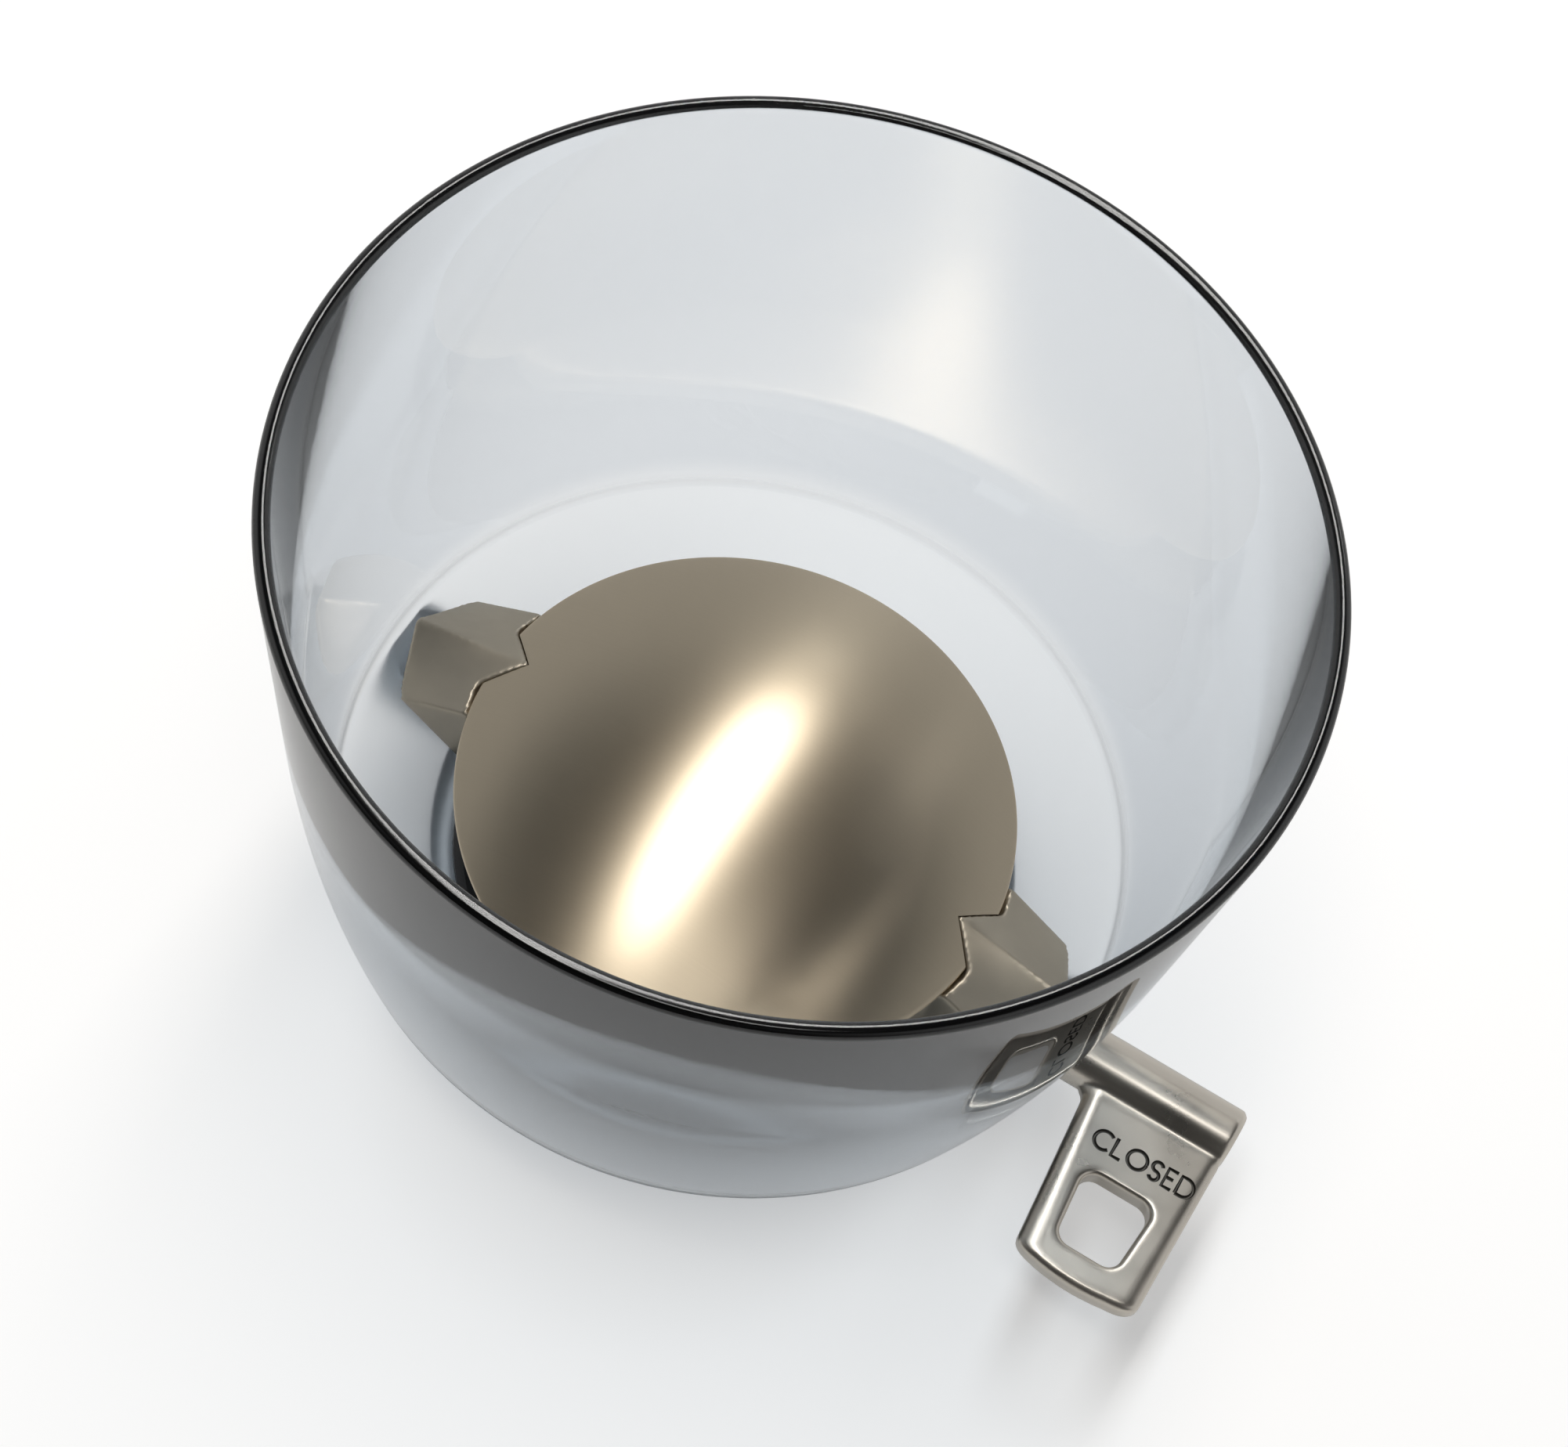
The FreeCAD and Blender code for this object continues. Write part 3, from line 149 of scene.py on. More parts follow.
# Modelling helpers
def deselect():
    """Leaves edit mode with nothing selected."""
    if bpy.context.object and bpy.context.object.mode != "OBJECT":
        bpy.ops.object.mode_set(mode="OBJECT")
    bpy.ops.object.select_all(action="DESELECT")


def pick(piece):
    """Makes a piece the only one selected, and active."""
    deselect()
    piece.select_set(True)
    bpy.context.view_layer.objects.active = piece


def apply_place(piece):
    """Moves a piece's place, turn and scale into its mesh."""
    pick(piece)
    bpy.ops.object.transform_apply(location=True, rotation=True, scale=True)


def modify(piece, kind, **settings):
    """Adds a modifier with its settings and applies it."""
    modifier = piece.modifiers.new(kind.lower(), kind)
    for name, value in settings.items():
        setattr(modifier, name, value)
    pick(piece)
    bpy.ops.object.modifier_apply(modifier=modifier.name)


def carve(piece, tool, operation="DIFFERENCE", overlaps=False):
    """Cuts a tool from a piece, or joins it on, and removes the tool."""
    modify(piece, "BOOLEAN", object=tool, operation=operation, solver="EXACT", use_self=overlaps)
    bpy.data.objects.remove(tool)


def clean(piece, distance=1e-6):
    """Merges doubled points and turns all faces outwards."""
    pick(piece)
    bpy.ops.object.mode_set(mode="EDIT")
    bpy.ops.mesh.select_all(action="SELECT")
    bpy.ops.mesh.remove_doubles(threshold=distance)
    bpy.ops.mesh.normals_make_consistent(inside=False)
    bpy.ops.object.mode_set(mode="OBJECT")


def spin_outline(name, outline, steps, angle=2 * math.pi, start=0.0):
    """A solid turned from a closed outline of (radius, height) points, over an angle from a start."""
    deselect()
    whole = angle > 6.28
    bpy.ops.mesh.primitive_circle_add(vertices=len(outline), fill_type="NOTHING" if whole else "NGON")
    piece = bpy.context.object
    piece.name = name
    for vertex, (radius, height) in zip(piece.data.vertices, outline):
        vertex.co = (radius * math.cos(start), radius * math.sin(start), height)
    bpy.ops.object.mode_set(mode="EDIT")
    bpy.ops.mesh.select_all(action="SELECT")
    bpy.ops.mesh.spin(steps=steps, angle=angle, center=(0, 0, 0), axis=(0, 0, 1))
    bpy.ops.object.mode_set(mode="OBJECT")
    clean(piece)
    return piece


def rod(radius, start, stop, centre, sides=64, along="X"):
    """A cylinder between two places along an axis; centre gives the other two coordinates."""
    deselect()
    middle = (start + stop) / 2
    if along == "X":
        spot, turn = (middle, centre[0], centre[1]), (0, math.pi / 2, 0)
    else:
        spot, turn = (centre[0], centre[1], middle), (0, 0, 0)
    bpy.ops.mesh.primitive_cylinder_add(vertices=sides, radius=radius, depth=abs(stop - start),
                                        location=spot, rotation=turn)
    piece = bpy.context.object
    apply_place(piece)
    return piece


def corner_arc(before, corner, after, radius, count):
    """Points that round one corner of an outline by an arc."""
    spot = Vector(corner)
    inward, outward = (Vector(before) - spot).normalized(), (Vector(after) - spot).normalized()
    half = inward.angle(outward) / 2
    reach = radius / math.tan(half)
    centre = spot + (inward + outward).normalized() * (radius / math.sin(half))
    first, last = spot + inward * reach - centre, spot + outward * reach - centre
    turn = first.angle_signed(last)
    points = []
    for step in range(count + 1):
        arm = first.copy()
        arm.rotate(Matrix.Rotation(-turn * step / count, 2))
        points.append(tuple(centre + arm))
    return points


def bowed(start, stop, bulge, count):
    """Points between two ends, bowed out by a bulge, without the ends."""
    first, last = Vector(start), Vector(stop)
    chord = last - first
    side = Vector((chord.y, -chord.x)).normalized()
    points = []
    for step in range(1, count):
        t = step / count
        points.append(tuple(first + chord * t + side * (bulge * 4 * t * (1 - t))))
    return points


def dress(piece, body, slot, material, *nodes):
    """Gives a finished piece its material and body, and hides the imported nodes it stands for; the slot is not
    used.
    """
    if not piece.data.materials:
        piece.data.materials.append(material)
    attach(piece, body)
    if nodes:
        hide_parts(*nodes)


def smooth(piece, degrees=30):
    """Smooth shading, with edges over an angle kept sharp."""
    pick(piece)
    bpy.ops.object.shade_smooth_by_angle(angle=math.radians(degrees))


def copy_of(node, name):
    """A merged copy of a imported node's mesh."""
    source = frame["nodes"][node]
    piece = bpy.data.objects.new(name, source.data.copy())
    piece.data.materials.clear()
    bpy.context.scene.collection.objects.link(piece)
    pick(piece)
    if piece.data.has_custom_normals:
        bpy.ops.mesh.customdata_custom_splitnormals_clear()
    bpy.ops.object.mode_set(mode="EDIT")
    bpy.ops.mesh.select_all(action="SELECT")
    bpy.ops.mesh.remove_doubles(threshold=1e-6)
    bpy.ops.object.mode_set(mode="OBJECT")
    return piece


# Material helpers
def add_node(tree, kind, inputs=None, **settings):
    """Adds a shader node with its settings, and its inputs by name or number."""
    item = tree.nodes.new("ShaderNode" + kind)
    for name, value in settings.items():
        setattr(item, name, value)
    for name, value in (inputs or {}).items():
        if isinstance(value, bpy.types.NodeSocket):
            tree.links.new(value, item.inputs[name])
        else:
            item.inputs[name].default_value = value
    return item


def new_material(name):
    """An empty material with its Principled shader linked to the output."""
    material = bpy.data.materials.new(name)
    material.use_nodes = True
    tree = material.node_tree
    return material, tree, tree.nodes["Principled BSDF"]


def new_group(name, inputs, outputs):
    """An empty shader group with named inputs and outputs."""
    group = bpy.data.node_groups.new(name, "ShaderNodeTree")
    for label, value in inputs.items():
        socket = group.interface.new_socket(label, in_out="INPUT", socket_type="NodeSocketFloat")
        socket.default_value = value
    for label in outputs:
        group.interface.new_socket(label, in_out="OUTPUT", socket_type="NodeSocketFloat")
    return group, group.nodes.new("NodeGroupInput"), group.nodes.new("NodeGroupOutput")


def grain_group():
    """Fine cast or moulded grain: a height for a bump, and a mask of slow cloudy change."""
    group, given, result = new_group("surface_grain", {"Size": 0.3 * MM}, ["Height", "Cloud"])
    place = add_node(group, "TexCoord")
    scale = add_node(group, "Math", operation="DIVIDE", inputs={0: 1.0, 1: given.outputs["Size"]})
    fine = add_node(group, "TexNoise", inputs={"Vector": place.outputs["Object"], "Detail": 3.0,
                                               "Scale": scale.outputs[0], "Roughness": 0.6})
    slow = add_node(group, "TexNoise", inputs={"Vector": place.outputs["Object"], "Scale": 90.0,
                                               "Detail": 4.0, "Roughness": 0.55})
    group.links.new(fine.outputs["Fac"], result.inputs["Height"])
    group.links.new(slow.outputs["Fac"], result.inputs["Cloud"])
    return group


def brush_group():
    """Straight brushing lines along X: a height for a bump, and a mask of broader streaks."""
    group, given, result = new_group("brush_lines", {"Spacing": 0.12 * MM}, ["Height", "Streak"])
    place = add_node(group, "TexCoord")
    rate = add_node(group, "Math", operation="DIVIDE", inputs={0: 1.0, 1: given.outputs["Spacing"]})
    stretch = add_node(group, "CombineXYZ", inputs={"X": 4.0, "Y": rate.outputs[0], "Z": 0.0})
    lines = add_node(group, "VectorMath", operation="MULTIPLY",
                     inputs={0: place.outputs["Object"], 1: stretch.outputs[0]})
    fine = add_node(group, "TexNoise", inputs={"Vector": lines.outputs[0], "Scale": 1.0, "Detail": 2.0,
                                               "Roughness": 0.7})
    wide = add_node(group, "VectorMath", operation="MULTIPLY",
                    inputs={0: place.outputs["Object"], 1: (3.0, 2600.0, 0.0)})
    streak = add_node(group, "TexNoise", inputs={"Vector": wide.outputs[0], "Scale": 1.0, "Detail": 3.0,
                                                 "Roughness": 0.65})
    group.links.new(fine.outputs["Fac"], result.inputs["Height"])
    group.links.new(streak.outputs["Fac"], result.inputs["Streak"])
    return group


def use_group(tree, group, **values):
    """Places a shared group in a material with its own values."""
    item = tree.nodes.new("ShaderNodeGroup")
    item.node_tree = group
    for name, value in values.items():
        item.inputs[name].default_value = value
    return item


def spread(tree, source, low, high):
    """Maps a mask from its usual middle range to two values."""
    item = add_node(tree, "MapRange", inputs={"Value": source, "From Min": 0.3, "From Max": 0.7,
                                              "To Min": low, "To Max": high})
    return item.outputs["Result"]


def tinted(tree, mask, dark, light):
    """A colour between two by a mask."""
    mix = add_node(tree, "Mix", data_type="RGBA")
    tree.links.new(mask, mix.inputs["Factor"])
    mix.inputs[6].default_value = (*dark, 1)
    mix.inputs[7].default_value = (*light, 1)
    return mix.outputs[2]


def shade(value, amount):
    """A colour made darker or lighter by a factor."""
    return tuple(min(1.0, channel * amount) for channel in value)


def grained(name, base, metallic, rough, rough_range, size, bump, variation=0.05):
    """A satin or moulded finish: colour and roughness drift slowly, and a fine grain lies on it."""
    material, tree, shader = new_material(name)
    grain = use_group(tree, bpy.data.node_groups["surface_grain"], Size=size)
    tone = tinted(tree, spread(tree, grain.outputs["Cloud"], 0.0, 1.0),
                  shade(base, 1 - variation), shade(base, 1 + variation))
    tree.links.new(tone, shader.inputs["Base Color"])
    tree.links.new(spread(tree, grain.outputs["Cloud"], rough - rough_range, rough + rough_range),
                   shader.inputs["Roughness"])
    shader.inputs["Metallic"].default_value = metallic
    relief = add_node(tree, "Bump", inputs={"Height": grain.outputs["Height"], "Strength": bump,
                                            "Distance": size * 0.3})
    tree.links.new(relief.outputs["Normal"], shader.inputs["Normal"])
    return material


def brushed(name, base, rough):
    """Metal brushed in straight lines along X, so its shine spreads across them, along Y."""
    material, tree, shader = new_material(name)
    brush = use_group(tree, bpy.data.node_groups["brush_lines"], Spacing=0.16 * MM)
    tone = tinted(tree, spread(tree, brush.outputs["Streak"], 0.0, 1.0), shade(base, 0.985), shade(base, 1.015))
    tree.links.new(tone, shader.inputs["Base Color"])
    tree.links.new(spread(tree, brush.outputs["Streak"], rough - 0.01, rough + 0.01),
                   shader.inputs["Roughness"])
    shader.inputs["Metallic"].default_value = 1.0
    shader.inputs["Anisotropic"].default_value = 0.75
    along = add_node(tree, "CombineXYZ", inputs={"Y": 1.0})
    tree.links.new(along.outputs[0], shader.inputs["Tangent"])
    relief = add_node(tree, "Bump", inputs={"Height": brush.outputs["Height"], "Strength": 0.013,
                                            "Distance": 0.02 * MM})
    tree.links.new(relief.outputs["Normal"], shader.inputs["Normal"])
    return material


def clear_smoke(name, tint, depth):
    """Clear moulding that absorbs light by its thickness; its shadow is only as dark as its tint."""
    material, tree, shader = new_material(name)
    grain = use_group(tree, bpy.data.node_groups["surface_grain"], Size=9 * MM)
    place = add_node(tree, "TexCoord")
    axes = add_node(tree, "SeparateXYZ", inputs={0: place.outputs["Object"]})
    frosted = add_node(tree, "MapRange", inputs={"Value": axes.outputs["Z"], "From Min": 26.5 * MM,
                                                 "From Max": 29.5 * MM, "To Min": 0.42, "To Max": 0.0})
    matt = add_node(tree, "Math", operation="MAXIMUM",
                    inputs={0: frosted.outputs[0], 1: spread(tree, grain.outputs["Cloud"], 0.0, 0.04)})
    soft = add_node(tree, "MapRange", inputs={"Value": axes.outputs["Z"], "From Min": BOWL_HIGH.z - 0.9 * MM,
                                              "From Max": BOWL_HIGH.z - 0.5 * MM, "To Max": 0.14})
    rough = add_node(tree, "Math", operation="MAXIMUM", inputs={0: matt.outputs[0], 1: soft.outputs[0]})
    tree.links.new(rough.outputs[0], shader.inputs["Roughness"])
    relief = add_node(tree, "Bump", inputs={"Height": grain.outputs["Height"], "Strength": 0.02,
                                            "Distance": 0.2 * MM})
    tree.links.new(relief.outputs["Normal"], shader.inputs["Normal"])
    # Painted light: the funnel below the wall is left untinted, so the floor ring seen through it reads lighter
    # than the tinted wall
    wall = add_node(tree, "MapRange", inputs={"Value": axes.outputs["Z"], "From Min": 27 * MM,
                                              "From Max": 32 * MM})
    body = tinted(tree, wall.outputs[0], (1, 1, 1), (0.86, 0.88, 0.905))
    # Painted shade: the rim's outer half is painted near black, standing in for the dark look a moulding's edge
    # has end on
    flat = add_node(tree, "VectorMath", operation="MULTIPLY", inputs={0: place.outputs["Object"], 1: (1, 1, 0)})
    radius = add_node(tree, "VectorMath", operation="LENGTH", inputs={0: flat.outputs[0]})
    outside = add_node(tree, "MapRange", inputs={"Value": radius.outputs["Value"], "From Min": 63.6 * MM,
                                                 "From Max": 63.9 * MM})
    top = add_node(tree, "MapRange", inputs={"Value": axes.outputs["Z"], "From Min": BOWL_HIGH.z - 1.7 * MM,
                                             "From Max": BOWL_HIGH.z - 1.3 * MM})
    # edge masks where the rim's painted shade goes
    edge = add_node(tree, "Math", operation="MULTIPLY", inputs={0: outside.outputs[0], 1: top.outputs[0]})
    dark = add_node(tree, "Mix", data_type="RGBA")
    tree.links.new(edge.outputs[0], dark.inputs["Factor"])
    tree.links.new(body, dark.inputs[6])
    dark.inputs[7].default_value = (0.008, 0.016, 0.024, 1)
    tree.links.new(dark.outputs[2], shader.inputs["Base Color"])
    shader.inputs["Transmission Weight"].default_value = 1.0
    shader.inputs["IOR"].default_value = 1.57
    rays = add_node(tree, "LightPath")
    faint = add_node(tree, "BsdfTransparent", inputs={"Color": (0.86, 0.885, 0.91, 1)})
    passing = add_node(tree, "Math", operation="MAXIMUM",
                       inputs={0: rays.outputs["Is Shadow Ray"], 1: rays.outputs["Is Diffuse Ray"]})
    blend = add_node(tree, "MixShader", inputs={0: passing.outputs[0], 1: shader.outputs[0],
                                                2: faint.outputs[0]})
    output = tree.nodes["Material Output"]
    tree.links.new(blend.outputs[0], output.inputs["Surface"])
    fog = add_node(tree, "VolumeAbsorption", inputs={"Color": (*tint, 1), "Density": depth})
    tree.links.new(fog.outputs[0], output.inputs["Volume"])
    return material


# Engraved words: each letter is a list of strokes, as points in shares of the letter's height
def ring(x, y, radius, start, stop, count=14):
    """Points on an arc from one angle to another, in degrees."""
    angles = [math.radians(start + (stop - start) * step / count) for step in range(count + 1)]
    return [(x + radius * math.cos(angle), y + radius * math.sin(angle)) for angle in angles]


LETTERS = {
    "C": (0.86, [ring(0.5, 0.5, 0.5, 45, 315, 22)]),
    "L": (0.52, [[(0, 1), (0, 0), (0.5, 0)]]),
    "O": (1.0, [ring(0.5, 0.5, 0.5, 0, 360, 32)]),
    "S": (0.58, [ring(0.29, 0.745, 0.255, 20, 270, 14) + ring(0.29, 0.245, 0.245, 90, -160, 14)[1:]]),
    "E": (0.5, [[(0.5, 1), (0, 1), (0, 0), (0.5, 0)], [(0, 0.52), (0.42, 0.52)]]),
    "D": (0.78, [[(0, 0), (0, 1), (0.28, 1)] + ring(0.28, 0.5, 0.5, 90, -90, 18)[1:] + [(0, 0)]]),
    "P": (0.56, [[(0, 0), (0, 1), (0.3, 1)] + ring(0.3, 0.74, 0.26, 90, -90, 12)[1:] + [(0, 0.48)]]),
    "N": (0.68, [[(0, 0), (0, 1)], [(0, 1), (0.68, 0)], [(0.68, 0), (0.68, 1)]]),
}


def stroke_tool(paths, width, depth):
    """A cutting tool that follows stroke centre lines on the plane Z = 0, round at its ends."""
    deselect()
    curve = bpy.data.curves.new("strokes", "CURVE")
    curve.dimensions = "3D"
    for path in paths:
        spline = curve.splines.new("POLY")
        spline.points.add(len(path) - 1)
        for point, (x, y) in zip(spline.points, path):
            point.co = (x, y, 0, 1)
    curve.bevel_depth = width / 2
    curve.bevel_resolution = 3
    curve.use_fill_caps = True
    tool = bpy.data.objects.new("strokes", curve)
    bpy.context.scene.collection.objects.link(tool)
    pick(tool)
    bpy.ops.object.convert(target="MESH")
    for vertex in tool.data.vertices:
        vertex.co.z *= 2 * depth / width
    return tool


def word_paths(word, height, gap, start, foot):
    """Centre lines of a word's strokes, from its left end and its foot."""
    paths = []
    x = start
    for letter in word:
        width, strokes = LETTERS[letter]
        for stroke in strokes:
            paths.append([(x + px * height, foot + py * height) for px, py in stroke])
        x += width * height + gap
    return paths


def word_width(word, height, gap):
    """Length of a word."""
    return sum(LETTERS[letter][0] for letter in word) * height + gap * (len(word) - 1)


class HOPPER_OT_finishes(bpy.types.Operator):
    """Makes the shared node groups and all materials"""

    bl_idname = "hopper.finishes"
    bl_label = "Finishes"

    def execute(self, context):
        tones = context.scene.hopper_colours
        grain_group()
        brush_group()
        clear_smoke("smoke_clear", tones.smoke, tones.smoke_depth)
        brushed("brushed_dome", tones.dome, tones.dome_rough)
        grained("satin_casting", tones.casting, 1.0, 0.42, 0.05, 0.5 * MM, 0.03, 0.07)
        grained("satin_nickel", tones.lever, 1.0, 0.30, 0.04, 0.5 * MM, 0.01, 0.05)
        # Painted shade: the grooves' material is the lever's colour at a fifth of its brightness, standing in
        # for the shade inside the engraving
        grained("engraved_nickel", shade(tones.lever, 0.2), 1.0, 0.5, 0.05, 0.25 * MM, 0.02)
        grained("turned_steel", tones.steel, 1.0, 0.26, 0.06, 0.3 * MM, 0.06)
        grained("dark_moulding", tones.plastic, 0.0, 0.5, 0.06, 0.35 * MM, 0.25, 0.1)
        grained("bearing_plastic", tones.bearing, 0.0, 0.38, 0.05, 0.5 * MM, 0.08)
        grained("seal_rubber", tones.rubber, 0.0, 0.66, 0.06, 0.25 * MM, 0.3, 0.12)
        return {"FINISHED"}


class HOPPER_OT_bowl(bpy.types.Operator):
    """Turns the clear bowl with its funnel and neck, and adds its bosses, bores and bayonet slots"""

    bl_idname = "hopper.bowl"
    bl_label = "Clear bowl"

    def execute(self, context):
        s = context.scene.hopper_sizes
        bowl = spin_outline("hopper_bowl", self.outline(s), 240)
        for side in (1, -1):
            boss = rod(s.boss_radius, side * s.boss_start, side * s.boss_end, (0, SHAFT_HEIGHT))
            carve(bowl, boss, "UNION")
        detent_x, detent_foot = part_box("detent_screw")[0].x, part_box("detent_screw")[0].z
        detent_x += (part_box("detent_screw")[1].x - detent_x) / 2
        carve(bowl, rod(3.4 * MM, detent_foot, SHAFT_HEIGHT - s.bush_radius, (detent_x, 0), along="Z"), "UNION")
        bush_low, bush_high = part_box("outer_bush")
        carve(bowl, rod(s.bush_radius, bush_low.x, s.boss_end + MM, (0, SHAFT_HEIGHT)))
        carve(bowl, rod(3.4 * MM, s.boss_start - MM, s.boss_end, (0, SHAFT_HEIGHT), 48))
        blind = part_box("shaft")[0].x
        carve(bowl, rod(s.bush_radius, blind - 0.7 * MM, MM - s.boss_start, (0, SHAFT_HEIGHT)))
        carve(bowl, rod(2.05 * MM, detent_foot - MM, SHAFT_HEIGHT - s.bush_radius + 0.4 * MM, (detent_x, 0), 40,
                        along="Z"))
        for tool in self.slots(s):
            carve(bowl, tool)
        clean(bowl)
        smooth(bowl)
        dress(bowl, "hopper", "tinted_clear", bpy.data.materials["smoke_clear"], "bowl")
        return {"FINISHED"}

    def outline(self, s):
        """The wall's outline, from the neck's outer foot up to the rim and back down inside."""
        bore = s.neck_radius - s.neck_wall
        slope = (s.floor_height - s.funnel_foot) / (s.floor_radius - bore)
        drop = s.wall * math.hypot(slope, 1)
        step = s.neck_radius + s.collar_step
        foot = BOWL_LOW.z
        under = s.funnel_foot + slope * (step - bore) - drop
        shoulder, waist = (s.shoulder_radius, s.shoulder_height), (s.waist_radius, s.waist_height)
        rim_out, rim_in = (s.rim_radius, BOWL_HIGH.z), (s.rim_radius - s.wall, BOWL_HIGH.z)
        inner_waist, floor = (s.waist_radius - s.wall, s.waist_height), (s.floor_radius, s.floor_height)
        lower = bowed(shoulder, waist, s.wall_bulge, 24)
        inner = bowed(floor, inner_waist, s.wall_bulge, 24)[::-1]
        points = [(s.neck_radius, foot), (s.neck_radius, s.collar_stop), (step, s.collar_stop), (step, under)]
        points += corner_arc((step, under), shoulder, lower[0], 2.6 * MM, 10)
        points += lower[2:]
        points.append(waist)
        points += corner_arc(waist, rim_out, rim_in, s.wall * 0.497, 9)
        points += corner_arc(rim_out, rim_in, inner_waist, s.wall * 0.497, 9)
        points.append(inner_waist)
        points += inner[:-1]
        points += corner_arc(inner[-1], floor, (bore, s.funnel_foot), s.wall / 2, 8)
        points += [(bore, s.funnel_foot), (bore, foot)]
        return points

    def slots(self, s):
        """Tools for the three bayonet entries and runs round the neck."""
        deep, beyond = s.neck_radius - 1.4 * MM, s.neck_radius + 0.6 * MM
        for start in (30, 150, 270):
            for low, high, span in ((BOWL_LOW.z - MM, 6.2 * MM, 9), (5.2 * MM, 8.4 * MM, 24)):
                outline = [(deep, low), (beyond, low), (beyond, high), (deep, high)]
                yield spin_outline("slot_tool", outline, 8, math.radians(span), math.radians(start))


class HOPPER_OT_dome(bpy.types.Operator):
    """Turns the brushed dome with its rounded edge, notches it over the arms and adds its studs"""

    bl_idname = "hopper.dome"
    bl_label = "Brushed dome"

    def execute(self, context):
        s = context.scene.hopper_sizes
        edge, top = DOME_HIGH.y, DOME_HIGH.z
        sphere = (edge ** 2 + s.dome_rise ** 2) / (2 * s.dome_rise)
        centre = top - sphere
        swing = math.asin(edge / sphere)
        inner = sphere - s.dome_thick
        count = 44
        outer_arc = [(sphere * math.sin(swing * k / count), centre + sphere * math.cos(swing * k / count))
                     for k in range(count)]
        inner_arc = [(inner * math.sin(swing * k / count), centre + inner * math.cos(swing * k / count))
                     for k in range(count, -1, -1)]
        rim = (edge, centre + sphere * math.cos(swing))
        lip = corner_arc(outer_arc[-1], rim, inner_arc[0], s.dome_lip, 6)
        dome = spin_outline("brushed_dome", outer_arc + lip + inner_arc, 320)
        for side in (1, -1):
            carve(dome, self.notch(s, side))
        for y in (-1, 1):
            stud = rod(1.5 * MM, DOME_LOW.z, centre + math.sqrt(inner ** 2 - (33.6 * MM) ** 2) + 0.4 * MM,
                       (0, y * 33.6 * MM), 32, along="Z")
            carve(dome, stud, "UNION")
        smooth(dome, 35)
        dress(dome, "hopper", "brushed_metal", bpy.data.materials["brushed_dome"], "dome")
        return {"FINISHED"}

    def notch(self, s, side):
        """The wedge that an arm's ridge comes through."""
        deselect()
        reach = DOME_HIGH.y + 3 * MM
        slope = s.notch_half / (DOME_HIGH.y - s.notch_start)
        bpy.ops.mesh.primitive_cylinder_add(vertices=3, radius=1, depth=0.03, location=(0, 0, DOME_HIGH.z))
        wedge = bpy.context.object
        half = slope * (reach - s.notch_start)
        corners = [(s.notch_start * side, 0), (reach * side, -half * side), (reach * side, half * side)]
        for vertex in wedge.data.vertices:
            x, y = corners[vertex.index // 2]
            vertex.co.x, vertex.co.y = x, y
        apply_place(wedge)
        clean(wedge)
        return wedge


class HOPPER_OT_bridge(bpy.types.Operator):
    """Rounds the cast bridge's edges, with its two faceted arms"""

    bl_idname = "hopper.bridge"
    bl_label = "Cast bridge"

    def execute(self, context):
        bridge = copy_of("bridge", "cast_bridge")
        modify(bridge, "REMESH", mode="VOXEL", voxel_size=0.4 * MM)
        modify(bridge, "SMOOTH", factor=0.5, iterations=4)
        pick(bridge)
        bpy.ops.object.shade_smooth()
        dress(bridge, "hopper", "cast_metal", bpy.data.materials["satin_casting"], "bridge")
        return {"FINISHED"}


class HOPPER_OT_lever(bpy.types.Operator):
    """Engraves the cast lever on both faces"""

    bl_idname = "hopper.lever"
    bl_label = "Lever"

    def execute(self, context):
        s = context.scene.hopper_sizes
        lever = copy_of("lever", "cast_lever")
        finishes = [bpy.data.materials["satin_nickel"], bpy.data.materials["engraved_nickel"]]
        for finish in finishes:
            lever.data.materials.append(finish)
        for vertex in lever.data.vertices:
            vertex.co.x += self.widening(vertex.co)
        modify(lever, "REMESH", mode="VOXEL", voxel_size=0.28 * MM)
        modify(lever, "SMOOTH", factor=0.5, iterations=4)
        plate_half = 1.95 * MM
        height, gap, width = 2.78 * MM, 0.64 * MM, 0.55 * MM
        middle, foot = 71.6 * MM, -11.9 * MM
        for word, face in (("CLOSED", 1), ("OPEN", -1)):
            start = -word_width(word, height, gap) / 2
            tool = stroke_tool(word_paths(word, height, gap, start, -height / 2), width, s.word_depth)
            turn = Matrix.Identity(4) if face > 0 else Matrix.Rotation(math.pi, 4, "X")
            spot = Vector((middle, foot + height / 2, SHAFT_HEIGHT + face * plate_half))
            tool.data.transform(Matrix.Translation(spot) @ turn)
            for finish in finishes:
                tool.data.materials.append(finish)
            # The cut faces of the grooves take the painted-shade material
            for face in tool.data.polygons:
                face.material_index = 1
            carve(lever, tool, overlaps=True)
        smooth(lever, 40)
        dress(lever, "shutoff", "lever_metal", bpy.data.materials["satin_nickel"], "lever")
        return {"FINISHED"}

    def widening(self, place):
        """How far a point of the plate moves along the shaft, so that its rounded edges are full."""
        reach = min(max((-3.4 * MM - place.y) / (1.6 * MM), 0), 1)
        along = min(max((-6 * MM - place.y) / (24 * MM), 0), 1)
        inner = max(65.2 * MM - place.x, 0) / (3.5 * MM - 2.2 * MM * along) * (2.3 - 0.4 * along) * MM
        outer = max(place.x - 76 * MM, 0) / (3.9 * MM - 1.5 * MM * along) * (1.0 + 0.8 * along) * MM
        return reach * (min(outer, max(LEVER_HIGH.x - 0.1 * MM - place.x, 0)) - inner)


